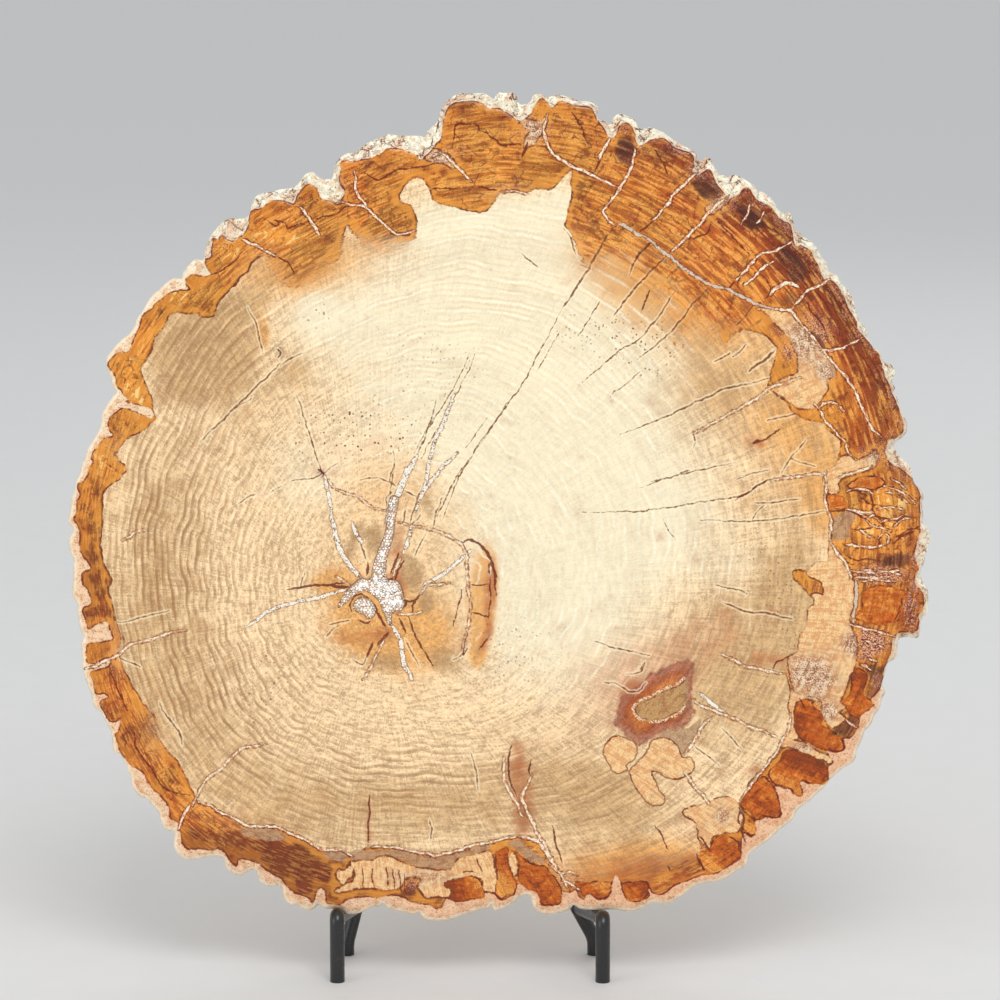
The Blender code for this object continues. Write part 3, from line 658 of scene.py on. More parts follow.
# %% Draw the brown cracks
CRACKS = drawn("""
    2.0 616,226 608,235 602,245 594,258 588,270 578,285 568,300 560,312
    1.2 560,312 552,328 545,342 535,360 525,380 512,398 500,415 490,429 480,442 470,459 463,470 455,487
        443,520
    1.0 487,417 480,428 473,438 466,448
    1.5 671,252 662,260 650,272 640,283 628,297 618,310 612,318
    1.2 675,290 668,303 660,315 650,327 640,338 630,345 620,350 600,368 582,382
    1.0 755,302 748,312 742,320 735,328
    1.4 770,378 758,382 745,385 735,386 720,391 710,396 695,402 680,410 660,419 640,427 620,435
    1.1 693,435 695,441 693,448
    1.0 735,462 718,466 700,470 680,475 660,481 640,488
    1.2 825,473 805,475 785,477 765,481 755,488 745,495 722,499 700,502 670,507 640,511 610,512 580,512
    1.0 830,511 812,513 795,516 760,521 730,521 700,520
    1.2 522,254 527,258 531,261 535,264 539,267
    1.2 563,228 568,233 572,240 574,248 577,256
    1.1 650,242 645,247 640,252 633,265 629,275
    1.4 280,363 276,368 272,372 265,379 258,385 249,394 240,403 232,411 225,418 212,430 200,443
    1.2 297,395 301,407 305,420 309,433 313,446 318,460 322,473
    1.0 328,480 329,492 330,505 331,515
    0.9 393,450 395,462 391,474 389,482
    1.4 722,603 733,606 745,611 757,613 770,614 782,617 792,619
    1.2 160,702 163,710 168,717 172,722 176,728 180,734 182,745
    0.8 118,622 128,621 140,618 155,614 170,611
    0.8 119,658 130,662 141,667
    0.8 270,493 275,489 281,485
    0.9 722,728 728,734 735,742 741,749
    0.9 693,745 699,750 705,755 712,760 720,766
    0.9 594,641 606,645 620,649 635,652 650,655
    0.8 604,682 616,684 625,689 633,692 641,690 646,682
    0.8 645,664 640,670 645,663 640,672 625,674
    0.8 806,440 796,452 788,462 782,473
    0.8 790,458 797,461 805,463 815,466
    0.9 764,505 756,513 752,520
    0.9 663,519 669,531 676,540
    0.8 300,590 302,580 306,570
    0.8 330,625 340,622 350,620
    0.8 470,645 462,655 452,660
    0.9 470,350 464,366 455,384 444,404 432,422 421,440 413,456
    0.9 475,354 468,371 459,389 449,409 439,427 429,444 420,460
    1.1 435,520 445,500 455,480 472,455 490,430 507,402
    0.9 600,300 590,318 578,336
    0.8 560,330 548,352 536,372
    0.9 640,372 626,384 610,396
    0.9 770,470 752,474 736,480
    0.9 800,498 776,502 752,503
    0.9 690,470 668,478 650,482
    1.2 714,585 728,588 740,590 748,594
    0.8 238,505 246,498 256,494
    0.8 224,420 236,408 252,398
    0.9 430,820 432,832 430,842
    0.8 470,752 476,770 478,790
    1.4 709,287 700,297 692,305 684,316 672,330 660,341 648,351 636,360
    2.2 775,348 768,357 757,364 748,371
    1.2 795,414 782,417 767,421
    1.0 747,343 740,351 733,357
    1.0 731,352 722,358 714,362
    0.9 406,640 410,649 415,658 419,666
    1.0 360,480 372,478 382,479 391,483 397,488
    1.1 386,510 386,500 387,496 393,491
    1.0 404,490 411,493 417,497
    1.2 428,478 423,488 418,496 416,504 412,514 410,524
    1.1 413,524 419,518 421,514
    1.1 403,524 405,516 407,508
    1.2 433,528 435,518 438,508 442,498
    1.0 414,556 420,545 426,533
    1.2 360,543 364,551 366,560
    0.9 340,625 333,630 326,637
    0.9 352,660 358,663 362,665 366,658
    1.0 390,493 392,480 394,470
    1.3 417,455 421,446 425,438 430,420 434,408 437,396
    0.9 280,366 288,360 297,355 304,352
    0.9 322,474 312,478 300,480 292,481
    0.8 322,474 330,468 338,462
    1.0 247,307 252,316 257,326 259,337 263,354
    0.8 276,348 280,352 278,358
""")
print(len(CRACKS), "brown cracks")

# %% [markdown]
# ## Washes
#
# Between its lines the wood is stained in soft clouds, and one wash is partly a painted pool of light. Each
# is painted as an oval brush stroke: where it is, how far it reaches, how it is turned and how strong it is.
# The material later breaks up their edges with noise.

# %% Paint the soft washes
WASHES = {
    # the first wash is paler wood and, where it is strongest over the middle of the face, a painted pool of
    # light
    "pale_wood_and_painted_light": """
        575 430 150 200 -15 1.0, 480 290 160 90 0 0.7, 560 610 120 120 0 0.7, 420 390 130 110 0 0.6,
        480 222 90 34 0 0.8, 560 215 30 40 0 0.5, 330 320 60 40 0 0.5, 660 520 90 70 0 0.5,
        300 480 60 60 0 0.4, 740 570 50 30 0 0.3, 317 312 18 18 45 1.0 2""",
    "olive": """
        203 352 62 56 25 1.0 2, 262 400 90 50 35 0.4, 160 500 75 150 0 0.5, 145 630 60 120 -10 0.5,
        240 780 150 55 -25 0.5, 420 808 170 52 0 0.7, 620 805 75 60 0 0.8, 740 635 100 80 20 0.65,
        790 560 40 70 0 0.6, 745 700 80 70 0 0.7, 720 390 70 70 -35 0.75, 610 300 80 40 -40 0.2,
        250 300 50 22 30 0.8, 540 770 80 60 0 0.4, 300 690 130 90 0 0.2, 800 620 40 60 0 0.5,
        820 440 24 30 0 0.4, 296 372 16 24 20 0.6, 770 480 80 40 0 0.3, 200 690 60 80 0 0.4,
        560 600 90 60 0 0.15""",
    "warm": """
        402 560 96 118 8 0.36 3, 366 622 44 36 0 1.0, 330 582 24 16 0 0.8, 300 266 90 40 12 0.9,
        640 284 100 50 -35 0.9, 740 340 80 50 -35 0.6, 768 415 60 36 0 0.5, 640 862 90 34 8 1.0,
        640 872 70 20 8 0.6, 826 500 30 70 0 0.8, 150 600 50 220 0 0.2, 400 640 60 50 0 0.5,
        250 805 110 34 -25 0.4, 395 470 56 50 0 0.15 3, 800 450 60 60 0 0.6, 700 390 40 30 0 0.35,
        760 500 60 30 0 0.3, 470 862 110 20 0 0.4, 430 640 40 40 0 0.4, 262 332 9 24 12 1.0,
        484 600 15 60 -4 1.0 2, 478 655 10 16 0 0.8 2, 500 740 60 40 0 0.15""",
    "rose": """
        640 690 56 46 20 0.9, 700 640 60 34 20 0.7, 590 655 60 50 0 0.3, 330 460 36 30 0 0.35,
        385 440 50 26 0 0.2, 560 730 70 60 0 0.25, 880 690 24 40 0 0.8, 900 600 20 50 0 0.6,
        700 825 30 20 0 0.5, 715 400 24 14 0 0.25, 690 540 50 40 0 0.25""",
    "rust": """
        652 712 34 26 0 1.0 2, 636 700 20 26 20 0.8 2, 490 598 8 46 -4 0.75 2, 484 645 7 20 -20 0.7 2,
        463 640 6 26 0 0.4, 393 590 14 20 0 0.9, 396 552 14 40 5 0.6, 756 443 13 7 0 0.9,
        800 413 14 8 0 0.7, 518 765 14 34 0 0.8, 368 828 6 34 0 0.7, 523 815 14 34 0 0.9,
        770 660 30 10 0 0.7, 752 770 14 10 0 0.6, 760 612 40 6 0 0.4, 325 470 16 12 0 0.6,
        350 640 26 14 0 0.5, 655 405 20 8 0 0.3, 384 634 16 12 0 0.7, 640 880 70 14 4 0.9,
        700 862 26 14 -20 0.6, 630 864 70 18 4 0.6, 264 336 6 20 -15 0.6""",
    "taupe": """
        374 538 10 17 -10 1.0 2, 412 572 12 22 10 1.0 2, 427 602 9 14 0 1.0 2, 429 505 6 16 20 0.9 2,
        388 662 24 12 0 0.8 2, 446 660 22 15 -20 0.8 2, 352 545 7 24 -20 0.8 2, 392 536 5 12 0 0.6 2,
        282 370 12 20 20 0.5, 203 352 48 40 25 0.45, 455 620 14 8 0 0.5 2, 360 530 10 10 0 0.6 2,
        700 740 30 14 30 0.4, 708 188 12 12 0 0.9 2, 820 372 12 14 0 0.8 2, 165 560 50 120 0 0.25,
        460 374 20 44 25 0.25, 318 472 16 10 0 0.3""",
    "golden": """
        180 290 40 16 20 1.0, 133 385 14 50 15 1.0, 100 450 16 60 15 0.8, 280 236 44 12 -10 0.9,
        492 153 10 12 0 1.0 2, 95 530 12 30 0 0.5, 230 250 20 12 40 0.9, 888 498 30 20 0 1.0,
        882 530 34 14 0 1.0, 370 212 20 16 0 0.3, 880 450 12 20 0 0.4, 120 690 14 40 -20 0.3,
        835 420 10 16 0 0.6, 225 845 40 8 10 0.4, 545 200 20 8 0 0.3""",
    "rings": """
        165 520 90 190 0 1.0, 220 700 120 90 -20 0.8, 410 780 190 60 0 0.8, 470 300 190 110 0 0.35,
        300 560 80 130 0 0.35, 620 790 90 50 0 0.5, 720 560 70 120 0 0.15, 220 340 70 60 0 0.9,
        650 320 70 50 0 0.3""",
    "granular": """
        812 675 34 30 0 1.0, 805 340 30 34 -40 1.0, 826 372 12 14 0 1.0, 880 574 34 12 0 1.0,
        868 645 22 16 0 1.0, 826 712 18 14 0 1.0, 806 747 26 8 20 1.0, 725 815 18 16 0 0.7,
        440 157 20 10 0 1.0, 533 130 18 18 0 1.0, 338 190 10 14 0 1.0, 720 203 16 12 0 1.0,
        875 455 20 14 0 0.8, 420 878 60 14 0 0.6, 566 878 14 12 0 0.8, 862 642 22 14 0 1.0""",
    "umber": """
        95 560 34 160 0 0.52, 125 745 50 70 -30 0.42, 235 850 90 30 20 0.7, 430 895 120 16 0 0.7,
        600 895 60 12 0 0.7, 700 872 40 20 -20 0.35, 292 868 70 26 12 1.0 2, 330 884 34 16 10 1.0 2,
        345 880 30 22 0 0.8, 85 577 10 26 0 0.9, 250 845 40 14 15 0.7, 626 150 12 18 0 0.9,
        750 222 18 12 20 0.9, 812 330 10 26 -35 0.5, 784 262 14 18 0 0.8, 878 384 6 24 -20 0.7,
        708 188 16 14 0 0.7, 790 300 26 8 0 0.5, 470 104 30 8 0 0.6, 585 108 16 8 0 0.7,
        668 152 20 14 30 0.5, 885 560 26 8 0 0.9, 862 596 6 10 0 0.9, 528 862 10 24 0 0.4,
        652 868 60 10 8 0.5, 190 840 24 16 0 0.8, 505 120 16 12 0 0.5, 270 222 26 8 -10 0.4,
        900 500 14 30 0 0.4""",
    "mauve": """
        911 612 9 20 0 1.0 2, 914 588 6 12 0 1.0 2, 876 680 6 12 0 0.8 2, 862 656 8 8 0 0.8,
        668 138 14 6 40 0.6, 708 170 10 5 40 0.6, 753 200 12 6 40 0.6, 786 226 10 6 45 0.8,
        812 250 12 6 50 0.8, 838 288 14 5 60 0.7, 862 334 14 5 60 0.8, 888 380 14 5 70 0.7,
        893 452 14 12 0 0.9, 906 474 8 12 0 0.7, 914 560 8 14 0 0.9, 624 128 8 10 0 0.6""",
    "specks": """
        318 312 16 18 0 0.8 2, 290 350 20 30 0 0.3, 370 432 80 34 0 1.0, 430 360 90 50 0 0.5,
        265 690 40 60 0 0.7, 500 640 60 60 0 0.5, 650 350 50 40 0 0.8, 590 330 60 40 0 0.5,
        300 440 60 40 0 0.4, 770 560 60 60 0 0.5, 540 700 90 60 0 0.3, 300 520 50 60 0 0.3,
        350 840 80 40 0 0.4, 800 640 40 60 0 0.6""",
}
WASHES = {name: [[float(value) for value in stroke.split()] for stroke in text.split(",")]
          for name, text in WASHES.items()}

FALL_OFF = 1.4


def washed(points, strokes):
    """How strongly the strokes colour each point, up to 1. A seventh value makes an edge firm."""
    total = np.zeros(len(points))
    for x, y, across, along, turned, strength, *firm in strokes:
        angle = math.radians(turned)
        offset = points - (x, y)
        first = (offset[:, 0] * math.cos(angle) - offset[:, 1] * math.sin(angle)) / across
        second = (offset[:, 0] * math.sin(angle) + offset[:, 1] * math.cos(angle)) / along
        total += strength * np.exp(-FALL_OFF * (first**2 + second**2) ** (firm[0] if firm else 1))
    return np.clip(total, 0.0, 1.0)


print("washes:", ", ".join(f"{len(strokes)} of {name}" for name, strokes in WASHES.items()))

# %% [markdown]
# ## Measuring the pattern
#
# Every point of the mesh will carry how far it is from each border and line. A distance changes evenly
# between two points, so a crisp border comes out of a mesh that is much coarser than the border is thin, if
# the mesh has an edge along the line itself. Three helpers do the measuring.

# %% Helpers that measure
STEPS_AT_ONCE = 32


def inside(points, loop):
    """Which points lie inside a closed line."""
    x, y = points[:, 0], points[:, 1]
    within = np.zeros(len(points), bool)
    for (ax, ay), (bx, by) in zip(loop, np.roll(loop, -1, axis=0)):
        if ay != by:
            within ^= ((ay > y) != (by > y)) & (x < (bx - ax) * (y - ay) / (by - ay) + ax)
    return within


def nearest(points, line, reach):
    """Each point's distance to a line, no more than reach, and its share of the way along it."""
    steps = np.diff(line, axis=0)
    lengths = np.maximum(np.linalg.norm(steps, axis=1), 1e-6)
    run = np.concatenate([[0.0], np.cumsum(lengths)])
    distance = np.full(len(points), float(reach))
    along = np.zeros(len(points))
    for first in range(0, len(steps), STEPS_AT_ONCE):
        part = slice(first, first + STEPS_AT_ONCE)
        corners = line[first:first + STEPS_AT_ONCE + 1]
        near = ((points > corners.min(axis=0) - reach) & (points < corners.max(axis=0) + reach)).all(axis=1)
        near = np.flatnonzero(near)
        offset = points[near, None] - line[:-1][None, part]
        share = np.clip((offset * steps[part]).sum(axis=2) / lengths[part]**2, 0.0, 1.0)
        gap = np.linalg.norm(offset - share[..., None] * steps[part], axis=2)
        best = gap.argmin(axis=1)
        row = np.arange(len(near))
        closer = gap[row, best] < distance[near]
        distance[near[closer]] = gap[row, best][closer]
        spot = run[first + best] + share[row, best] * lengths[first + best]
        along[near[closer]] = spot[closer] / run[-1]
    return distance, along


def into(points, loop, reach=60.0):
    """How far each point lies inside a closed line, negative outside it."""
    distance, _ = nearest(points, np.vstack([loop, loop[:1]]), reach)
    return np.where(inside(points, loop), distance, -distance)


middle_depth = into(NODULE.mean(axis=0)[None], NODULE)[0]
print("the nodule's middle lies", round(float(middle_depth), 1), "pixels inside it")

# %% [markdown]
# ## Rings and rays
#
# Growth rings run round the pith and slowly take the shape of the log. So a ring's number is the distance
# from the pith divided by the log's radius in that direction, with the radius smoothed until its lumps are
# gone.

# %% Number the rings
PITH = np.array([372.0, 600.0])
RING_COUNT = 43
DIRECTIONS = 360
SMOOTHING = 24  # directions on each side that are averaged

silhouette = flowing(OUTLINE, closed=True)
from_pith = silhouette - PITH
angles = np.degrees(np.arctan2(-from_pith[:, 1], from_pith[:, 0])) % 360
reaches = np.linalg.norm(from_pith, axis=1)
reaches = reaches[[np.abs(angles - direction).argmin() for direction in range(DIRECTIONS)]]
kernel = np.hanning(2 * SMOOTHING + 3)[1:-1]
padded = np.concatenate([reaches[-SMOOTHING:], reaches, reaches[:SMOOTHING]])
LOG_RADIUS = np.convolve(padded, kernel / kernel.sum(), mode="valid")


def around(points, centre=PITH):
    """Each point's direction from a centre in degrees, anticlockwise from the right, and its distance."""
    away = points - centre
    return np.degrees(np.arctan2(-away[:, 1], away[:, 0])) % 360, np.linalg.norm(away, axis=1)


def log_share(points):
    """How far out each point is, from 0 at the pith to about 1 at the bark."""
    direction, distance = around(points)
    return distance / np.interp(direction, np.arange(DIRECTIONS + 1), np.append(LOG_RADIUS, LOG_RADIUS[0]))


print("the log's radius runs from", round(LOG_RADIUS.min()), "to", round(LOG_RADIUS.max()), "pixels")

# %% [markdown]
# ## How the ring's colour changes around the slice
#
# Seen from the middle of the face, the stain is golden on the left, orange at the top, red-brown on the
# upper right and orange again below, and the rind is pink below and cream above. The bark is rough where
# the rim broke, at the top and on the right, and ground smooth elsewhere. Each quality is a short list of
# directions in degrees and strengths.

# %% List what changes with direction
AROUND = {
    "red": [(0, 0.62), (14, 0.8), (30, 0.95), (50, 0.9), (64, 0.7), (80, 0.42), (100, 0.3), (125, 0.22),
            (150, 0.1), (180, 0.18), (200, 0.3), (230, 0.5), (250, 0.55), (275, 0.45), (300, 0.4),
            (325, 0.45), (345, 0.6), (360, 0.62)],
    "rough": [(0, 0.6), (8, 0.7), (20, 1.0), (130, 1.0), (142, 0.4), (150, 0.0), (215, 0.0), (235, 0.2),
              (300, 0.1), (330, 0.1), (345, 0.8), (360, 0.6)],
    "pink": [(0, 0.6), (20, 0.4), (50, 0.1), (110, 0.0), (150, 0.2), (180, 0.5), (230, 0.6), (270, 0.9),
             (330, 0.9), (360, 0.6)],
}


def by_direction(points, name):
    """The strength of one quality at each point."""
    direction, _ = around(points, MIDDLE_PX)
    stops = np.array(AROUND[name])
    return np.interp(direction, stops[:, 0], stops[:, 1])


print("qualities that change with direction:", ", ".join(AROUND))

# %% [markdown]
# ## The pattern's fields
#
# One function works out everything that the material asks of a point. Depth doesn't change it: the marks go
# through the stone from the face to the back.

# %% Work out the fields
LINE_REACH = 14.0  # pixels, as are all reaches here
BLOCK_REACH = 20.0
BORDER_REACH = 12.0
END_TAPER = 5  # a line is thinner over the last fifth of its length, at both ends
WIDE_LOG, WIDER_LOG = 330, 480
rind = shaken(flowing(RIND, closed=True), 0.5)
heartwood = shaken(flowing(HEARTWOOD, closed=True), 0.6)
BLOCKS = {"pale": PALE_PATCHES, "stray": STRAY_BLOCKS, "amber": AMBER, "dark": DARK, "nodule": [NODULE],
          "slate": SLATE + [NODULE_HEART]}
BLOCKS = {kind: [shaken(flowing(loop, closed=True)) for loop in loops] for kind, loops in BLOCKS.items()}
LINES = {"milk": MILKY, "grey": GREY, "rust_line": RUST, "crack": CRACKS}
LINES = {kind: [(width, shaken(flowing(line))) for width, line in lines] for kind, lines in LINES.items()}

SOFT_BORDERS = [
    (300, 268, 52, 26, 0, 1.3), (380, 246, 34, 14, 0, 1.3), (640, 272, 74, 44, 0, 1.3),
    (700, 322, 40, 24, 0, 1.3), (620, 872, 80, 30, 0, 1.3), (116, 650, 12, 40, 0, 0.5),
    (148, 740, 20, 50, -25, 0.6), (112, 440, 14, 30, 20, 0.3), (245, 822, 50, 12, -10, 0.4),
    (500, 190, 40, 12, 0, 0.3),
]


def pattern(points, crisp_only=False):
    """Every field of the pattern at each point, by name, or only the borders and the lines."""
    fields = {}
    if not crisp_only:
        fields = {name: washed(points, strokes) for name, strokes in WASHES.items()}
        fields.update({name: by_direction(points, name) for name in AROUND})
        fields["soft"] = washed(points, SOFT_BORDERS)
        fields["border"] = nearest(points, silhouette, BORDER_REACH)[0]
    fields["edge"] = into(points, rind)
    stain = -into(points, heartwood)
    for kind, loops in BLOCKS.items():
        fields[kind] = np.max([into(points, loop, BLOCK_REACH) for loop in loops], axis=0)
    fields["stain"] = np.maximum(np.minimum(stain, -fields["pale"]), fields.pop("stray"))
    for kind, lines in LINES.items():
        field = np.full(len(points), -LINE_REACH)
        for width, line in lines:
            distance, along = nearest(points, line, LINE_REACH)
            taper = np.clip(np.minimum(along, 1 - along) * END_TAPER, 0.0, 1.0)**0.7
            field = np.maximum(field, width / 2 * (0.1 + 0.9 * taper) - distance)
        fields[kind] = field
    if crisp_only:
        return fields
    share = log_share(points)
    direction, distance = around(points)
    turned = np.radians(direction)
    fields["ring"] = share * RING_COUNT
    log_radius = distance / np.maximum(share, 1e-3)
    fields["fine"] = np.clip((log_radius - WIDE_LOG) / (WIDER_LOG - WIDE_LOG), 0.0, 1.0)
    fields["grain"] = np.stack([np.cos(turned), np.sin(turned), share], axis=1)
    return fields


print("fields at the pith:", ", ".join(pattern(PITH[None])))

# %% [markdown]
# ## The stone's mesh
#
# Sculpting or subdividing a disc would give points in the wrong places, so this one piece is made in mesh
# code: Blender's own triangulation takes a cloud of points and the drawn lines, and returns triangles whose
# edges run along every line. The face gets fine points in the stained ring, where the pattern is busy, and
# coarser ones in the plain wood. The back gets the same lines with fewer points.

# %% Helpers that triangulate a sheet
ROW_PITCH = 0.866  # of the spacing, for triangles with equal sides
JITTER = 0.22


def scattered(loop, spacing, seed):
    """Places inside a closed line, in the rows of a jittered hexagonal grid."""
    chance = np.random.default_rng(seed)
    low, high = loop.min(axis=0), loop.max(axis=0)
    rows = np.arange(low[1], high[1], spacing * ROW_PITCH)
    columns = np.arange(low[0], high[0], spacing)
    x, y = np.meshgrid(columns, rows)
    x = x + (np.arange(len(rows)) % 2)[:, None] * spacing / 2
    grid = np.stack([x.ravel(), y.ravel()], axis=1)
    grid = grid + chance.uniform(-JITTER, JITTER, grid.shape) * spacing
    return grid[inside(grid, loop)]


def triangulated(loop, lines, points):
    """Triangles that fill a closed line, with edges along the other lines and corners at the points."""
    places = [tuple(p) for p in loop]
    edges = []
    for line, closed in lines:
        within = inside(line, loop)
        start = len(places)
        places += [tuple(p) for p in line]
        for i in range(len(line) - (0 if closed else 1)):
            j = (i + 1) % len(line)
            if within[i] and within[j]:
                edges.append((start + i, start + j))
    places += [tuple(p) for p in points]
    face = [list(range(len(loop)))]
    made = delaunay_2d_cdt([Vector(p) for p in places], edges, face, 1, 0.05)
    return np.array([tuple(p) for p in made[0]]), np.array([tuple(f) for f in made[2]])


def clear_of(points, lines, gap):
    """The points that are at least gap away from every line."""
    keep = np.ones(len(points), bool)
    for line, closed in lines:
        whole = np.vstack([line, line[:1]]) if closed else line
        distance, _ = nearest(points, whole, gap)
        keep &= distance >= gap
    return points[keep]


def open_loops(triangles):
    """The rims of a sheet of triangles, each as corners in order."""
    sides = np.vstack([triangles[:, [0, 1]], triangles[:, [1, 2]], triangles[:, [2, 0]]])
    used = {tuple(side) for side in sides.tolist()}
    onward = {a: b for a, b in used if (b, a) not in used}
    loops = []
    while onward:
        start, here = next(iter(onward.items()))
        del onward[start]
        loop = [start]
        while here != start:
            loop.append(here)
            here = onward.pop(here)
        loops.append(loop)
    return sorted(loops, key=len, reverse=True)


print("the nodule holds", len(scattered(NODULE, 6.0, 0)), "places of a six-pixel grid")

# %% [markdown]
# The rim needs lumps that look broken and not wavy, so its noise is folded: where the noise changes sign it
# makes a crease. The bark's own ridges run along the trunk, from face to back, and are already in the
# silhouette.

# %% Helpers that roughen the rim
BARK_DEPTH = 0.0042  # how far the broken bark falls back from the polished face
GROUND_DEPTH = 0.0011  # how far a ground rind rounds over
LUMP = 0.0016
CHIP = 0.0006
LUMP_PITCH_PX = 17.0
CHIP_PITCH_PX = 6.0
CHIP_START_PX = 2.5  # outside the rind's border
GROUND_SHARE = 0.15  # of the chips, where the rim is ground
ROUND_OVER_FROM = 0.45


def noisy(x, y, z, pitch, seed=0.0):
    """Smooth noise from -1 to 1 with lumps of about one pitch."""
    return noise.noise(Vector((x / pitch + seed, y / pitch - seed, z / pitch)))


def folded(x, y, z, pitch, seed=0.0):
    """Creased noise from 0 to 1."""
    return 1.0 - abs(noisy(x, y, z, pitch, seed)) * 2.0


def front_depth(points, fields, rim_line):
    """How far behind the polished plane each point of the front lies: nothing inside the rind's border."""
    outside = np.maximum(-fields["edge"], 0.0)
    to_rim = np.abs(into(points, rim_line))
    share = outside / (outside + to_rim + 1e-6)
    rough = fields["rough"]
    over = np.clip((share - ROUND_OVER_FROM) / (1 - ROUND_OVER_FROM), 0.0, 1.0)
    depth = GROUND_DEPTH * (1 - rough) * over**2 + BARK_DEPTH * rough * share**0.8
    for i in np.flatnonzero(outside > 0.01):
        x, y = points[i]
        chips = CHIP * folded(x, y, 0, CHIP_PITCH_PX) + LUMP * noisy(x, y, 0, LUMP_PITCH_PX)
        broken = GROUND_SHARE + (1 - GROUND_SHARE) * rough[i]
        depth[i] += chips * broken * min(outside[i] / CHIP_START_PX, 1.0)
    return np.maximum(depth, 0.0)


print("the bark falls back", BARK_DEPTH * 1000, "mm where broken,", GROUND_DEPTH * 1000, "mm where ground")

# %% [markdown]
# The mesh has an edge along every drawn line and round the two hollows at the pith. A line that comes too
# close to the rim stops short of it, since it would only make slivers there.

# %% Gather the lines that the mesh follows
HEART_PX = path("""
    391,496 388,506 387,520 384,535 378,550 373,565 370,578 361,578 354,583 347,590 340,601 338,608 345,604
    353,597 363,591 372,595 379,602 383,612 388,624 391,625 393,612 401,611 405,604 403,592 398,581 388,579
    386,572 387,560 391,546 394,532 396,516 399,498
""")
POCKET_PX = path("362,597 357,599 353,605 355,611 363,615 368,619 374,617 376,609 373,602 368,598")
HOLLOW_STEP = 2.0  # pixels between places along a hollow's rim
OUTLINE_STEP = 2.8

heart_loop = flowing(HEART_PX, closed=True, step=HOLLOW_STEP)
pocket_loop = flowing(POCKET_PX, closed=True, step=HOLLOW_STEP)
silhouette_fine = flowing(OUTLINE, closed=True, step=OUTLINE_STEP)
BORDERS = [(rind, True), (heartwood, True), (heart_loop, True), (pocket_loop, True)]
BORDERS += [(loop, True) for loops in BLOCKS.values() for loop in loops]
DRAWN = [(line, False) for lines in LINES.values() for _, line in lines]


def kept_off(lines, loop, gap):
    """The lines without the places that are nearer than gap to the rim of a sheet, or outside it."""
    made = []
    for line, closed in lines:
        whole = np.vstack([line, line[:1]]) if closed else line
        good = into(whole, loop, gap * 2) >= gap
        run = []
        for place, fine in zip(whole, good):
            if fine:
                run.append(place)
            elif run:
                made.append((np.array(run), False))
                run = []
        if run:
            made.append((np.array(run), False))
    return [(line, closed) for line, closed in made if len(line) > 1]


lines_on_face = kept_off(BORDERS + DRAWN, silhouette_fine, 1.5)
print(len(lines_on_face), "lines on the face")

# %% [markdown]
# The grid is fine in the ring and a little way into the wood, and coarse beyond. Where the middle of a
# triangle disagrees with its corners about a line close by, one more point goes there. Twice is enough.

# %% Triangulate the face
FINE, COARSE = 3.5, 6.2  # pixels between points
FINE_EDGE = 10.0  # pixels that the fine grid reaches into the wood
LINE_GAP = 1.3
BLUR = 0.45  # pixels that a field may be off in the middle of a triangle

fine_grid = scattered(silhouette_fine, FINE, 1)
fine_grid = fine_grid[into(fine_grid, heartwood, 2 * FINE_EDGE) < FINE_EDGE]
coarse_grid = scattered(heartwood, COARSE, 2)
coarse_grid = coarse_grid[into(coarse_grid, heartwood, 2 * FINE_EDGE) >= FINE_EDGE]
grid = np.vstack([fine_grid, coarse_grid])
grid = clear_of(grid, lines_on_face + [(silhouette_fine, True)], LINE_GAP)
CRISP_FIELDS = ("edge", "stain", "pale", "amber", "dark", "slate", "nodule", *LINES)
for turn in range(3):
    face_places, face_triangles = triangulated(silhouette_fine, lines_on_face, grid)
    middles = face_places[face_triangles].mean(axis=1)
    if turn < 2:
        true, corners = pattern(middles, crisp_only=True), pattern(face_places, crisp_only=True)
        wrong = np.zeros(len(middles), bool)
        for name in CRISP_FIELDS:
            guess = corners[name][face_triangles].mean(axis=1)
            wrong |= (np.abs(true[name] - guess) > BLUR) & (guess > -3.0) & (np.abs(guess) < 6.0)
        grid = np.vstack([grid, middles[wrong]])
        print("the mesh takes", wrong.sum(), "more points where it blurs a line")
face_triangles = face_triangles[~(inside(middles, heart_loop) | inside(middles, pocket_loop))]
print("the face has", len(face_places), "points and", len(face_triangles), "triangles")

# %% [markdown]
# The face, the rim, the back and the hollows are sheets of triangles. A box collects them, with what each
# point has to remember, until they are joined.

# %% A box for sheets of triangles
class Sheets:
    """Collects points and triangles until they are one mesh."""

    def __init__(self):
        self.places, self.depths, self.triangles, self.extra = [], [], [], []
        self.count = 0

    def add(self, places, depths, **extra):
        """Adds points, with their depth behind the polished plane, and returns their first number."""
        first = self.count
        self.places.append(np.asarray(places, float))
        self.depths.append(np.broadcast_to(depths, len(places)).astype(float))
        self.extra.append((len(places), extra))
        self.count += len(places)
        return first

    def faces(self, triangles):
        """Adds triangles between points that are in the box."""
        self.triangles.append(np.asarray(triangles))

    def strip(self, upper, lower):
        """Joins two closed rows of equally many points."""
        upper, lower = np.asarray(upper), np.asarray(lower)
        next_upper, next_lower = np.roll(upper, -1), np.roll(lower, -1)
        self.faces(np.stack([upper, lower, next_lower], axis=1))
        self.faces(np.stack([upper, next_lower, next_upper], axis=1))

    def field(self, name, default=0.0):
        """One value that was given with the points, for all of them."""
        return np.concatenate([np.broadcast_to(extra.get(name, default), n) for n, extra in self.extra])


stone = Sheets()
print("the stone starts with", stone.count, "points")

# %% [markdown]
# The front is flat as far as the rind's border, and falls back from there to the rim.

# %% Shape the face
face_fields = pattern(face_places)
face_depths = front_depth(face_places, face_fields, silhouette_fine)
broken = np.clip(-face_fields["edge"] / 1.5, 0.0, 1.0) * (0.25 + 0.75 * face_fields["rough"])
stone.add(face_places, face_depths, broken=broken)
stone.faces(face_triangles)
face_loops = open_loops(face_triangles)
print("rims of the face:", [len(loop) for loop in face_loops])

# %% [markdown]
# The rim is rows of points from the front to the back. Each row is the silhouette, drawn in by lumps and
# chips that change with the depth, and a little more towards the back.

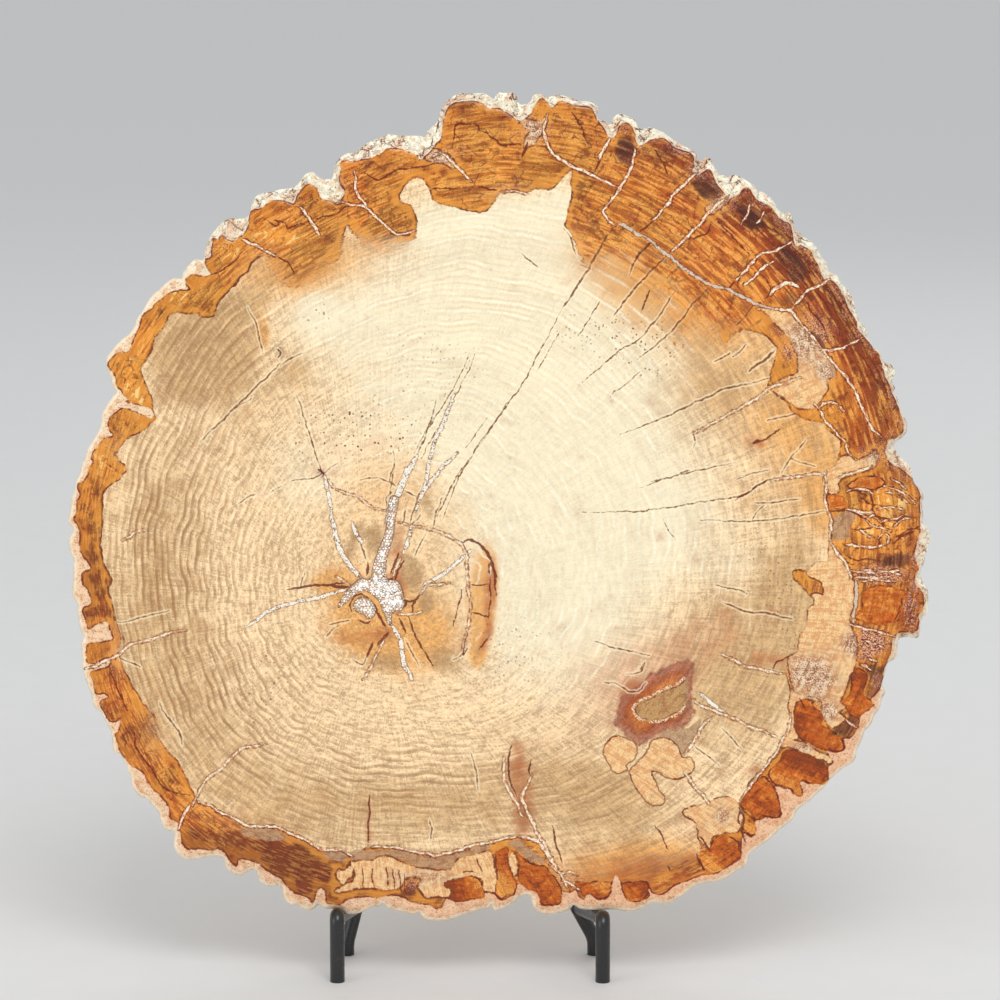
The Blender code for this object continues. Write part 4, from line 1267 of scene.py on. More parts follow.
# %% Shape the rim
RIM_ROWS = 15
BACK_TAPER = 0.0030
RIM_LUMP = 0.0024
RIM_CHIP = 0.0007
RIM_GRIT = 0.0006
DEEP_CREVICE = 0.003

rim = np.array(face_loops[0])
rim_places, rim_depths = face_places[rim], face_depths[rim]
inward = MIDDLE_PX - rim_places
inward = inward / np.linalg.norm(inward, axis=1)[:, None]
upper = rim
for row in range(1, RIM_ROWS + 1):
    share = row / RIM_ROWS
    depths = rim_depths + (THICKNESS - rim_depths) * share
    swell = math.sin(math.pi * min(share * 1.15, 1.0)) ** 0.7
    inset = np.zeros(len(rim))
    for i, (x, y) in enumerate(rim_places):
        z = depths[i] / PIXEL
        lump = RIM_LUMP * (0.5 + noisy(x, y, z * 0.55, 40.0, 3.0)) * swell
        chip = RIM_CHIP * folded(x, y, z, 9.0, 7.0) * min(share * 5, 1.0)
        rough_grit = RIM_GRIT * noisy(x, y, z, 5.0, 1.0) * swell
        inset[i] = max(lump + chip + rough_grit, 0.0) + BACK_TAPER * share**3
    row_places = rim_places + inward * (inset / PIXEL)[:, None]
    sawn = 1.0 if row == RIM_ROWS else 0.0
    # how deep a rim point lies; the finish paints shade into the deep ones and the rind's highlight onto the
    # shallow ones
    crevice = inset / DEEP_CREVICE
    first = stone.add(row_places, depths, broken=1.0, crevice=crevice, sawn=sawn, outer=1.0 - sawn)
    lower = first + np.arange(len(rim))
    stone.strip(upper, lower)
    upper = lower
print("the rim has", RIM_ROWS, "rows of", len(rim), "points")

# %% [markdown]
# The back is sawn flat. It follows the borders and the wide veins, but not the cracks, which are too thin
# to show on a dull face.

# %% Saw the back
BACK_SPACING = 7.5
BACK_STEP = 5.0

back_rim = row_places
lines_on_back = BORDERS + DRAWN[:len(MILKY) + len(GREY)]
lines_on_back = [(flowing(line, False, BACK_STEP) if len(line) > 6 else line, closed)
                 for line, closed in lines_on_back]
lines_on_back = kept_off(lines_on_back, back_rim, 4.0)
back_grid = clear_of(scattered(back_rim, BACK_SPACING, 3), lines_on_back + [(back_rim, True)], 2.5)
back_places, back_triangles = triangulated(back_rim, lines_on_back, back_grid)
back_loop = open_loops(back_triangles)[0]
matching = [int(np.abs(back_rim - back_places[i]).sum(axis=1).argmin()) for i in back_loop]
number = np.full(len(back_places), -1)
number[back_loop] = upper[matching]
rest = np.flatnonzero(number < 0)
number[rest] = stone.add(back_places[rest], THICKNESS, sawn=1.0) + np.arange(len(rest))
stone.faces(number[back_triangles][:, ::-1])
print("the back has", len(back_triangles), "triangles")

# %% [markdown]
# Two hollows are sunk at the pith, for the quartz. Each has a flat floor and upright walls.

# %% Sink the two hollows
HOLLOW_DEPTH = 0.0030
HOLLOW_SPACING = 3.0

for loop in face_loops[1:]:
    loop_places = face_places[loop]
    floor_grid = clear_of(scattered(loop_places[::-1], HOLLOW_SPACING, 4), [(loop_places, True)], 1.2)
    floor_places, floor_triangles = triangulated(loop_places, [], floor_grid)
    order = open_loops(floor_triangles)[0]
    matching = [int(np.abs(loop_places - floor_places[i]).sum(axis=1).argmin()) for i in order]
    first = stone.add(floor_places, HOLLOW_DEPTH, pit=1.0)
    stone.faces(first + floor_triangles)
    wall = np.zeros(len(loop), int)
    wall[matching] = first + np.array(order)
    stone.strip(np.array(loop), wall)
print("hollows:", len(face_loops) - 1)

# %% [markdown]
# Now the points get their fields and become one object. The rim counts as far outside the rind's border, so
# that it is bark all over.

# %% Make the slice's object
FAR_OUTSIDE = -8.0

places = np.vstack(stone.places)
depths = np.concatenate(stone.depths)
triangles = np.vstack(stone.triangles)
fields = pattern(places)
for name in ("broken", "crevice", "sawn", "pit"):
    fields[name] = stone.field(name)
outer_points = stone.field("outer") > 0
fields["edge"] = np.where(outer_points, FAR_OUTSIDE, fields["edge"])
# on the rim the border field carries the depth, so the rind's painted highlight keeps to where the rim
# stands out
fields["border"] = np.where(outer_points, BORDER_REACH * stone.field("crevice"), fields["border"])
fields["place"] = np.column_stack([places, depths / PIXEL])
room = [FACE_TO_ROOM @ Vector(((x - MIDDLE_PX[0]) * PIXEL, (MIDDLE_PX[1] - y) * PIXEL, -d))
        for (x, y), d in zip(places.tolist(), depths.tolist())]
mesh = bpy.data.meshes.new("slice_stone")
mesh.from_pydata(room, [], triangles.tolist())
for name, values in fields.items():
    vector = values.ndim == 2
    layer = mesh.attributes.new(name, "FLOAT_VECTOR" if vector else "FLOAT", "POINT")
    layer.data.foreach_set("vector" if vector else "value", values.astype(np.float32).ravel())
slice_stone = bpy.data.objects.new("slice_stone", mesh)
bpy.context.scene.collection.objects.link(slice_stone)

work = bmesh.new()
work.from_mesh(mesh)
bmesh.ops.recalc_face_normals(work, faces=work.faces)
loose = sum(not edge.is_manifold for edge in work.edges)
work.to_mesh(mesh)
work.free()
rough_faces = fields["broken"][triangles].mean(axis=1) > 0.5
mesh.polygons.foreach_set("use_smooth", ~rough_faces)
print("the slice has", len(triangles), "triangles,", loose, "open edges")

# %% [markdown]
# ## Words for wiring a material
#
# A material with hundreds of nodes is easier to read as formulas. `new_finish` opens a material, and each
# word after it adds a node to the open material and wires its inputs.

# %% Words that open a finish and add nodes to it
OPEN = {}  # the finish that is being wired


def new_finish(name):
    """Opens a new material, to which every word below adds its nodes."""
    material = bpy.data.materials.new(name)
    material.use_nodes = True
    OPEN.update(tree=material.node_tree, shader=material.node_tree.nodes["Principled BSDF"])
    return material


def put(socket, value):
    """Wires a socket to another, or sets it."""
    if isinstance(value, bpy.types.NodeSocket):
        OPEN["tree"].links.new(value, socket)
    else:
        socket.default_value = value


def surface(inputs):
    """Sets or wires the inputs of the finish's own shader, by name."""
    for name, value in inputs.items():
        put(OPEN["shader"].inputs[name], value)


def add_node(kind, inputs, **settings):
    """A node of a kind, with inputs by name or number."""
    made = OPEN["tree"].nodes.new("ShaderNode" + kind)
    for name, value in settings.items():
        setattr(made, name, value)
    for key, value in inputs.items():
        put(made.inputs[key], value)
    return made


def counted(layer):
    """Says which layer is wired, and how many nodes the finish has by now."""
    print(layer, "wired,", len(OPEN["tree"].nodes), "nodes so far")


print("materials before the first finish:", len(bpy.data.materials))

# %% [markdown]
# Most of the words are sums. `swing` turns a noise into a number about zero, so that it can push a border
# to and fro, and `step` turns a distance from a border into a share of paint.

# %% Words for numbers and places
def carried(name):
    """A number that the mesh's points carry."""
    return add_node("Attribute", {}, attribute_name=name).outputs["Fac"]


def carried_place(name):
    """A place that the mesh's points carry."""
    return add_node("Attribute", {}, attribute_name=name).outputs["Vector"]


def object_place():
    """A place in the object's own frame, in metres."""
    return add_node("TexCoord", {}).outputs["Object"]


def maths(operation, first, second=0.0):
    return add_node("Math", {0: first, 1: second}, operation=operation).outputs[0]


def times(first, second, *more):
    made = maths("MULTIPLY", first, second)
    return times(made, *more) if more else made


def plus(first, second, *more):
    made = maths("ADD", first, second)
    return plus(made, *more) if more else made


def minus(first, second):
    return maths("SUBTRACT", first, second)


def most(first, second):
    return maths("MAXIMUM", first, second)


def swing(noise_value, reach):
    """Noise as a number about zero."""
    return times(minus(noise_value, 0.5), reach)


def stretched(vector, scale):
    """A place or a colour with its three numbers multiplied."""
    return add_node("VectorMath", {0: vector, 1: scale}, operation="MULTIPLY").outputs[0]


def shifted(vector, by):
    """A place moved by a number or by another place."""
    return add_node("VectorMath", {0: vector, 1: by}, operation="ADD").outputs[0]


def step(value, low, high):
    """0 at low, 1 at high, and smooth between; low may be the larger."""
    inputs = {"Value": value, "From Min": low, "From Max": high}
    return add_node("MapRange", inputs, interpolation_type="SMOOTHSTEP").outputs["Result"]


def scaled(value, low, high, first, last):
    """The value moved from one range to another in a straight line."""
    inputs = {"Value": value, "From Min": low, "From Max": high, "To Min": first, "To Max": last}
    return add_node("MapRange", inputs).outputs["Result"]


print("words:", ", ".join(word.__name__ for word in (times, plus, minus, most, swing, step, scaled)))

# %% [markdown]
# Colours are given as on a paint chart, red, green and blue from 0 to 255, and `tone` makes them linear.
# `coats` paints one layer after another, as a varnisher would, each with its own share.

# %% Words for textures and colours
def noise_texture(vector, scale=1.0, detail=2.0, roughness=0.5, sides="3D"):
    """Smooth noise from 0 to 1."""
    inputs = {"Vector": vector, "Scale": scale, "Detail": detail, "Roughness": roughness}
    return add_node("TexNoise", inputs, noise_dimensions=sides).outputs["Fac"]


def cells(vector, scale, **settings):
    """A node that splits space into cells."""
    return add_node("TexVoronoi", {"Vector": vector, "Scale": scale}, **settings)


def cell_number(made_cells):
    """A chance number from 0 to 1 for each cell."""
    return add_node("SeparateColor", {0: made_cells.outputs["Color"]}).outputs[0]


def cell_border(vector, scale):
    """The distance to the nearest border between two cells."""
    return cells(vector, scale, feature="DISTANCE_TO_EDGE").outputs["Distance"]


def tone(red, green, blue):
    """A paint chart's colour as linear red, green, blue and alpha."""
    chart = np.array([red, green, blue]) / 255
    linear = np.where(chart <= 0.04045, chart / 12.92, ((chart + 0.055) / 1.055)**2.4)
    return (*linear.tolist(), 1.0)


def mix(share, first, second):
    """The second colour over the first by a share. Each is a wired one or a paint chart's."""
    made = add_node("Mix", {}, data_type="RGBA")
    for number, value in ((0, share), (6, first), (7, second)):
        put(made.inputs[number], tone(*value) if isinstance(value, tuple) else value)
    return made.outputs[2]


def coats(base, *layers):
    """The base with layers painted over it in turn, each a share and a colour."""
    for share, paint in layers:
        base = mix(share, base, paint)
    return base


def ramp(value, *stops):
    """A colour that runs through stops, each a position and a paint chart's colour."""
    made = add_node("ValToRGB", {"Fac": value})
    while len(made.color_ramp.elements) < len(stops):
        made.color_ramp.elements.new(1.0)
    for element, (position, paint) in zip(made.color_ramp.elements, stops):
        element.position = position
        element.color = tone(*paint)
    return made.outputs["Color"]


def lit(colour, light):
    """A colour made lighter or darker."""
    return add_node("VectorMath", {0: colour, "Scale": light}, operation="SCALE").outputs[0]


def bump(height, strength, distance):
    """A normal that shows low relief."""
    return add_node("Bump", {"Height": height, "Strength": strength, "Distance": distance}).outputs["Normal"]


print("the chart's mid grey is", round(tone(128, 128, 128)[0], 3), "in linear light")

# %% [markdown]
# ## The stone's finish
#
# The finish starts with what every layer uses: the place in pixels, the grain direction with the ring
# share, and a few noises. Streaks run with the rings and rays across them, because the grain place holds
# the direction as two numbers and the distance from the pith as the third.

# %% Start the stone's finish
stone_material = new_finish("petrified_wood_finish")
place = carried_place("place")
grain = carried_place("grain")


def along_grain(around_pith, outward, detail=2.0, roughness=0.5):
    """Noise that changes so often around the pith, and so often from the pith outward."""
    return noise_texture(stretched(grain, (around_pith, around_pith, outward)), 1.0, detail, roughness)


cloud = noise_texture(place, 0.042, 2.0, 0.6, "2D")
mottle = noise_texture(place, 0.15, 2.0, 0.6)
rag = noise_texture(place, 0.27, 1.0, 0.6)
grit = noise_texture(place, 0.62, 1.0, 0.7)
contour = along_grain(8.0, 26.0, 2.0, 0.6)
streak = along_grain(13.0, 120.0, 2.0, 0.65)
fibre = along_grain(20.0, 170.0, 1.0)
ray = along_grain(150.0, 13.0, 1.0, 0.65)
wave = along_grain(5.0, 4.0, 1.0)
block = along_grain(11.0, 4.0, 0.0)
band = along_grain(1.6, 15.0, 1.0, 0.6)
each_ring = along_grain(5.0, float(RING_COUNT), 1.0, 0.7)
counted("the noises are")

# %% [markdown]
# The heartwood is cream, paler over the middle of the face, where the paler cream is also a painted pool of
# light. Washes of warm tan, grey-olive, rose and rust lie over it, each with an edge that noise has broken
# up.

# %% Colour the heartwood
def wash(name, spread=0.45, low=0.08, high=0.95):
    """A soft wash with its edge broken up by noise."""
    return step(plus(carried(name), swing(cloud, spread), swing(rag, spread * 0.3)), low, high)


# paler wood, and over the middle of the face a painted pool of light
pale_wood_and_painted_light = wash("pale_wood_and_painted_light")
olive = wash("olive", 0.7)
taupe = wash("taupe", 0.7)
wood = coats(
    mix(pale_wood_and_painted_light, (254, 221, 174), (253, 240, 206)),
    (times(wash("warm", 0.4), 0.9), (238, 172, 92)),
    (times(olive, 0.85), (206, 166, 114)),
    (times(wash("rose", 0.9), 0.5), (206, 134, 96)),
    (times(wash("rust", 0.9), 0.8), (184, 92, 36)),
    (times(taupe, 0.8), (184, 146, 100)))
counted("the heartwood's washes are")

# %% [markdown]
# A growth ring is pale early wood that ends in a brown line of late wood. The ring's number plus a small
# wave has a fraction, and the fraction is the place within one ring. Where the log is wide the rings are
# split in two, to keep them narrow. In the palest wood, under the painted pool of light, the late lines all
# but vanish and some early ones turn white.

# %% Draw the growth rings
ring_number = plus(carried("ring"), swing(wave, 2.2), swing(cloud, 0.45), swing(rag, 0.08))
split = carried("fine")


def late_wood(number, first, last):
    """The brown line that ends each ring."""
    within = maths("FRACT", number)
    return times(step(within, first, last), step(within, 1.0, 0.86))


late = plus(times(late_wood(ring_number, 0.30, 0.72), minus(1.0, split)),
            times(late_wood(times(ring_number, 2.0), 0.35, 0.75), split))
late = times(late, scaled(plus(each_ring, swing(streak, 0.7)), 0.36, 0.60, 0.05, 1.0))
within_ring = maths("FRACT", ring_number)
pale_line = times(step(within_ring, 0.0, 0.12), step(within_ring, 0.34, 0.16), step(each_ring, 0.46, 0.58))
wood = coats(
    wood,
    (times(late, scaled(carried("rings"), 0.0, 1.0, 0.08, 0.85)),
     mix(pale_wood_and_painted_light, (158, 112, 66), (226, 186, 134))),
    (times(pale_line, scaled(pale_wood_and_painted_light, 0.2, 0.9, 0.1, 0.7)), (255, 250, 224)))
counted("the growth rings are")

# %% [markdown]
# Up close the wood is woven: fibres along the rings, rays across them, and grit. The weave lightens and
# darkens the colour, and its darkest threads turn tan. Small dark specks lie in loose flocks.

# %% Weave the grain and scatter the specks
weave = plus(swing(streak, 1.5), swing(ray, 0.8), swing(grit, 1.0), swing(mottle, 0.8), swing(rag, 0.7))
weave = times(weave, plus(scaled(pale_wood_and_painted_light, 0.0, 1.0, 1.0, 0.32), times(most(olive, taupe), 0.15)))
weave = plus(weave, swing(band, 0.35))
threads = mix(pale_wood_and_painted_light, (186, 138, 94), (240, 206, 160))
wood = mix(scaled(weave, 0.0, -0.32, 0.0, 0.45), lit(wood, plus(1.0, times(weave, 0.55))), threads)

spots = cells(place, 0.24, voronoi_dimensions="2D")
rare = cell_number(spots)
reach = plus(spots.outputs["Distance"], swing(rag, 0.3), times(rare, -0.30))
speck = times(step(reach, 0.03, -0.04), step(rare, 0.55, 0.6), step(mottle, 0.46, 0.54))
wood = mix(times(speck, scaled(wash("specks", 0.8), 0.0, 1.0, 0.06, 0.95)), wood, (104, 52, 32))
counted("the wood's grain is")

# %% [markdown]
# The stained ring runs from gold on the left to rust on the right, and is reddest near the bark. It took up
# the stain in pieces, so the colour also jumps a little from one piece to the next.

# %% Colour the stained ring
red = carried("red")
piece_place = shifted(stretched(grain, (9.0, 9.0, 6.0)), swing(cloud, 0.8))
piece = cell_number(cells(piece_place, 1.0))
seams = cell_border(piece_place, 1.0)
outer = step(plus(carried("edge"), swing(cloud, 40.0)), 52.0, 8.0)
redness = times(red, scaled(outer, 0.0, 1.0, 0.22, 1.0))
redness = plus(redness, swing(piece, 0.22), swing(cloud, 0.35), swing(mottle, 0.35))
umber = wash("umber", 0.8)
gold_patch = wash("golden", 0.4)
stained = coats(
    ramp(redness, (0.0, (194, 134, 58)), (0.20, (208, 134, 56)), (0.45, (198, 108, 42)),
         (0.68, (152, 62, 24)), (1.0, (84, 28, 16))),
    (times(step(band, 0.48, 0.62), 0.5), (238, 170, 86)),
    (times(umber, 0.85), (96, 38, 18)),
    (times(gold_patch, 0.5), (240, 168, 76)))
counted("the stained ring's ground is")

# %% [markdown]
# Dark and light fibres streak the ring like planks, thin rays cross them, dark blotches sit near the bark,
# and a dark seam runs between some of the pieces.

# %% Streak the stained ring
plain = minus(1.0, gold_patch)
streaky = times(step(streak, 0.50, 0.60), scaled(mottle, 0.35, 0.6, 0.15, 0.7), plain)
stained = coats(
    stained,
    (times(streaky, scaled(red, 0.0, 0.6, 0.5, 1.0)), (134, 56, 18)),
    (times(step(streak, 0.44, 0.35), 0.55), (246, 184, 100)),
    (times(step(fibre, 0.51, 0.62), plain, 0.62), (140, 66, 22)),
    (times(step(fibre, 0.48, 0.37), 0.5), (248, 186, 106)),
    (times(step(ray, 0.55, 0.64), 0.18), (116, 46, 16)),
    (times(step(mottle, 0.56, 0.64), outer, red, 0.8), (76, 26, 14)),
    (times(step(seams, 0.035, 0.012), step(mottle, 0.44, 0.54), 0.65), (108, 40, 16)))
lightness = plus(1.04, swing(grit, 1.3), swing(mottle, 0.6), swing(streak, 1.0), swing(piece, 0.25))
stained = mix(times(umber, 0.45), lit(stained, lightness), (112, 50, 26))
stained = stretched(stained, (1.05, 0.94, 0.70))
counted("the ring's streaks are")

# %% [markdown]
# Some stretches are crumbly. Lines like the contours of a map show where the stain paused, most of them
# dark, and golden where the ring is golden.

# %% Crumble the ring and draw its contours
grainy = wash("granular", 0.6)
crumb = ramp(grit, (0.40, (90, 28, 20)), (0.49, (186, 100, 70)), (0.56, (246, 204, 176)))
shore = maths("ABSOLUTE", swing(maths("FRACT", times(contour, 3.2)), 1.0))
broken_up = step(plus(rag, swing(cloud, 0.8)), 0.42, 0.52)
golden_line = times(step(shore, 0.38, 0.44), step(mottle, 0.44, 0.52), gold_patch)
stained = coats(
    stained,
    (times(grainy, 0.7), crumb),
    (times(step(shore, 0.09, 0.03), broken_up, 0.5), (96, 34, 12)),
    (golden_line, (255, 212, 132)))
counted("the ring's contours are")

# %% [markdown]
# Where the stain met clear stone it left a tide mark, a thin dark line with a golden band behind it in
# places. Where it seeped on, the border is soft and only the streaks carry it.

# %% Draw the tide marks
edge = plus(carried("edge"), swing(rag, 2.0))
soft = carried("soft")
crisp = minus(1.0, soft)
stain = plus(carried("stain"), swing(rag, 2.2), times(soft, swing(streak, 50.0)))


def tide(distance, offset, width):
    """A line at an offset inside a border."""
    away = maths("ABSOLUTE", minus(distance, offset))
    return step(away, width, width * 0.3)


in_gold = times(step(stain, 1.0, 2.5), step(plus(stain, swing(cloud, 24.0)), 9.0, 4.0))
rim_gold = times(step(edge, 0.8, 2.0), step(plus(edge, swing(cloud, 30.0)), 9.0, 4.0))
stained = coats(
    stained,
    (times(in_gold, 0.6), (238, 158, 60)),
    (times(rim_gold, minus(1.0, red), 0.7), (226, 142, 50)))
faded = times(step(stain, -26.0, 26.0), soft)
stain_share = plus(faded, times(step(stain, -0.4, 0.4), crisp))
outline_strength = scaled(plus(mottle, swing(cloud, 0.9)), 0.40, 0.58, 0.08, 1.0)
colour = coats(
    wood,
    (stain_share, stained),
    (times(tide(stain, 0.0, 1.1), crisp, outline_strength), (112, 46, 12)))
counted("the tide marks are")

# %% [markdown]
# Blocks of one plain orange lie among the rest, with dark outlines. A few of them stand in the clear wood,
# where they are paler and darken towards their border.

# %% Lay in the orange blocks
amber = plus(carried("amber"), swing(rag, 1.6))
amber_colour = ramp(plus(block, swing(mottle, 0.6), swing(streak, 0.4)),
                    (0.36, (148, 66, 18)), (0.46, (194, 96, 24)), (0.56, (210, 116, 38)),
                    (0.68, (236, 162, 84)))
amber_colour = mix(times(step(streak, 0.52, 0.60), 0.4), amber_colour, (150, 62, 14))
amber_colour = lit(amber_colour, plus(0.96, swing(grit, 1.3), swing(ray, 1.0), swing(streak, 0.8)))
amber_colour = stretched(amber_colour, (1.0, 0.92, 0.7))
in_wood = step(carried("stain"), -6.0, -12.0)
amber_share = scaled(in_wood, 0.0, 1.0, 1.0, 0.6)
colour = coats(
    colour,
    (times(step(amber, -0.4, 0.4), amber_share), amber_colour),
    (times(tide(amber, 0.0, 1.2), outline_strength, amber_share), (104, 32, 10)),
    (times(step(amber, 0.0, 1.0), step(amber, 7.0, 2.0), in_wood, 0.55), (196, 98, 40)))
counted("the orange blocks are")

# %% [markdown]
# The darkest blocks are almost black with rust. At the lower right a nodule grades from dusky red to
# orange.

# %% Lay in the dark blocks and the nodule
dark = plus(carried("dark"), swing(rag, 5.0), swing(streak, 8.0))
dark_colour = ramp(plus(streak, swing(grit, 0.6)),
                   (0.38, (156, 92, 60)), (0.46, (104, 54, 36)), (0.56, (58, 26, 18)))
nodule = plus(carried("nodule"), swing(mottle, 9.0))
nodule_colour = ramp(scaled(nodule, 0.0, 16.0, 0.0, 1.0), (0.0, (150, 84, 62)), (0.25, (178, 108, 82)),
                     (0.55, (160, 74, 34)), (1.0, (204, 116, 46)))
nodule_colour = lit(nodule_colour, plus(1.0, swing(grit, 1.6), swing(streak, 1.2), swing(rag, 1.0)))
colour = coats(
    colour,
    (times(step(dark, -2.0, 2.0), 0.8), dark_colour),
    (times(step(nodule, -2.0, 1.5), 0.88), nodule_colour))
counted("the dark blocks and the nodule are")

# %% [markdown]
# Grey lenses of clear silica lie along the ring's inner border. The nodule's heart is olive, with a beaded
# white line and a thin brown one around it.

# %% Lay in the grey lenses and the nodule's heart
slate = plus(carried("slate"), swing(rag, 1.8))
in_nodule = step(carried("nodule"), 4.0, 8.0)
slate_colour = coats(
    mix(in_nodule, (190, 152, 116), (198, 160, 104)),
    (times(step(mottle, 0.50, 0.62), 0.7), (150, 108, 76)),
    (times(step(streak, 0.52, 0.6), 0.5), (160, 108, 72)))
beads = times(step(grit, 0.44, 0.5), step(mottle, 0.42, 0.5))
colour = coats(
    colour,
    (times(step(slate, -0.6, 0.6), 0.85), lit(slate_colour, plus(1.0, swing(grit, 1.2)))),
    (times(tide(slate, -0.6, 1.8), in_nodule, beads), (255, 226, 196)),
    (times(tide(slate, 1.8, 1.0), in_nodule, outline_strength), (140, 60, 24)))
counted("the grey lenses are")

# %% [markdown]
# The patches that stayed clear of the stain are peach. Some are crumbly, with white, pink and dark red
# crumbs, and those have a ragged border. A patch in the clear wood has a rusty halo.

# %% Leave the pale patches clear
crumbs = ramp(plus(grit, swing(streak, 0.6), swing(mottle, 0.5)),
              (0.39, (255, 244, 226)), (0.46, (226, 188, 164)), (0.52, (178, 122, 100)),
              (0.59, (92, 42, 34)))
pale_colour = coats(
    mix(step(plus(mottle, swing(ray, 0.8)), 0.44, 0.60), (252, 214, 160), (234, 180, 126)),
    (times(step(streak, 0.52, 0.58), 0.45), (206, 148, 98)),
    (times(grainy, 0.75), crumbs))
pale_colour = lit(pale_colour, plus(1.0, swing(grit, 0.9), swing(streak, 0.8)))
pale_colour = stretched(pale_colour, (1.0, 0.95, 0.88))
ragged = plus(swing(grit, 6.0), swing(mottle, 14.0), swing(ray, 6.0))
pale = plus(carried("pale"), swing(rag, 2.6), times(grainy, ragged))
deep_in = step(carried("stain"), -30.0, -40.0)
halo = times(step(pale, -8.0, -0.5), deep_in, scaled(mottle, 0.4, 0.6, 0.1, 0.8))
colour = coats(
    colour,
    (halo, (206, 124, 66)),
    (step(pale, -0.4, 0.4), pale_colour),
    (times(tide(pale, 0.0, 1.2), most(outline_strength, times(in_wood, 0.75))), (124, 60, 26)))
counted("the pale patches are")

# %% [markdown]
# The rind is silica that the stain never reached, cream above and pink below, with a painted highlight along
# its outer border. Dark mauve crumbs lie just inside it, and a thin dark line follows it where the bark is
# rough.

# %% Colour the rind
rough = carried("rough")
# painted highlight: a bright line along the silhouette
highlight = step(plus(carried("border"), swing(rag, 5.0)), 4.2, 2.4)
rind_colour = coats(
    mix(carried("pink"), (255, 236, 198), (246, 184, 138)),
    (times(step(mottle, 0.50, 0.60), 0.6), (226, 156, 104)),
    (times(step(grit, 0.58, 0.66), 0.7), (150, 84, 50)),
    (times(highlight, 0.85), (255, 238, 208)))
mauve = times(step(red, 0.55, 0.75), step(plus(edge, swing(mottle, 40.0)), 8.0, 3.0), 0.6)
mauve = times(most(mauve, wash("mauve", 0.8)), step(edge, 0.0, 1.0), step(rag, 0.44, 0.54))
mauve_colour = ramp(grit, (0.38, (90, 44, 36)), (0.48, (150, 88, 70)), (0.60, (214, 160, 136)))
inner_line = times(tide(plus(edge, swing(mottle, 30.0)), 7.5, 1.2), step(rough, 0.3, 0.7))
colour = coats(
    colour,
    (mauve, mauve_colour),
    (times(inner_line, outline_strength, 0.8), (96, 30, 16)))
counted("the rind is")

# %% [markdown]
# Outside the rind's border the bark is broken. It is cream and chalky, in lumps, with painted shade in the
# creases between
# them: each lump darkens towards its edge, thin dark lines follow the creases, and deep crevices are painted
# darker still.

# %% Colour the broken bark
broken = carried("broken")
crease_shade = maths("ABSOLUTE", swing(noise_texture(place, 0.085, 2.0, 0.55), 2.0))
lumps = cell_border(shifted(place, swing(mottle, 26.0)), 0.07)
bark_colour = coats(
    mix(step(mottle, 0.52, 0.62), (255, 250, 228), (246, 218, 182)),
    (times(step(cloud, 0.54, 0.62), 0.45), (214, 156, 124)))
# painted shade: lumps darker towards their edges, dark lines in the creases and between the lumps, and
# darker colour where a rim point lies deep
bark_colour = coats(
    lit(bark_colour, plus(scaled(lumps, 0.0, 0.3, 0.84, 1.08), swing(rag, 0.3))),
    (times(step(crease_shade, 0.03, 0.01), 0.5), (128, 70, 42)),
    (times(step(lumps, 0.07, 0.025), scaled(cloud, 0.42, 0.54, 0.1, 0.95)), (104, 40, 22)),
    (times(step(carried("crevice"), 0.6, 1.6), 0.8), (120, 84, 60)))
rind_colour = mix(times(broken, scaled(rough, 0.0, 0.6, 0.35, 0.95)), rind_colour, bark_colour)
colour = coats(
    colour,
    (step(edge, 0.4, -0.4), rind_colour),
    (times(tide(edge, 0.0, 1.1), outline_strength), (118, 38, 14)))
counted("the bark is")

# %% [markdown]
# Cracks lie over everything. One in the clear wood is a brown line with a thin painted highlight along each
# side, and one in the stain is a line of dark rust.

# %% Lay the cracks over all
crack = plus(carried("crack"), swing(rag, 2.0), swing(mottle, 1.6), -0.25)
# painted highlight: a thin pale line on each side of a crack in the clear wood
crack_highlight = times(step(crack, -2.6, -1.6), step(crack, -0.5, -1.0), minus(1.0, stain_share), 0.5)
rust_line = plus(carried("rust_line"), swing(rag, 2.0), swing(mottle, 2.0))
colour = coats(
    colour,
    (crack_highlight, (255, 242, 204)),
    (times(step(crack, -0.6, 0.2), scaled(mottle, 0.36, 0.5, 0.6, 0.95)), (122, 68, 24)),
    (times(step(rust_line, -0.6, 0.2), 0.92), (108, 34, 12)))
counted("the cracks are")

# %% [markdown]
# A vein is crusty: its width and its colour change every few pixels, and a rusty seam follows it. The grey
# ones are peppered quartz, the milky ones chalk. The hollows' walls are painted pale, as painted light
# against the shade that falls in them, and the sawn back is paler than the polished face.

# %% Lay the veins over all
seam_colour = mix(stain_share, (150, 100, 56), (112, 40, 16))
grey = plus(carried("grey"), swing(rag, 3.0), swing(mottle, 3.0))
pepper = ramp(plus(grit, swing(mottle, 0.8)),
              (0.36, (124, 88, 62)), (0.42, (222, 202, 176)), (0.48, (255, 250, 238)))
pepper = mix(times(stain_share, 0.6), pepper, (196, 164, 134))
milk = plus(carried("milk"), times(plus(swing(rag, 4.0), swing(mottle, 5.0)), 0.8), -0.25)
chalk = ramp(plus(rag, swing(grit, 0.3)),
             (0.40, (255, 246, 226)), (0.52, (252, 224, 190)), (0.62, (206, 138, 96)))
colour = coats(
    colour,
    (times(step(grey, -2.0, -0.9), scaled(rag, 0.40, 0.52, 0.2, 0.9)), seam_colour),
    (times(step(grey, -0.9, -0.1), 0.95), pepper),
    (times(step(milk, -2.3, -1.0), scaled(rag, 0.42, 0.54, 0.25, 1.0)), seam_colour),
    (step(milk, -0.7, 0.0), chalk),
    # painted light: the hollows' walls made paler against the shade that falls in them
    (times(carried("pit"), 0.75), (232, 208, 180)),
    (times(carried("sawn"), 0.4), (222, 200, 166)))
counted("the veins are")

# %% [markdown]
# The face is polished silica. The bark and the sawn back are dull, and a fine relief that the mesh is too
# coarse for lies on them.

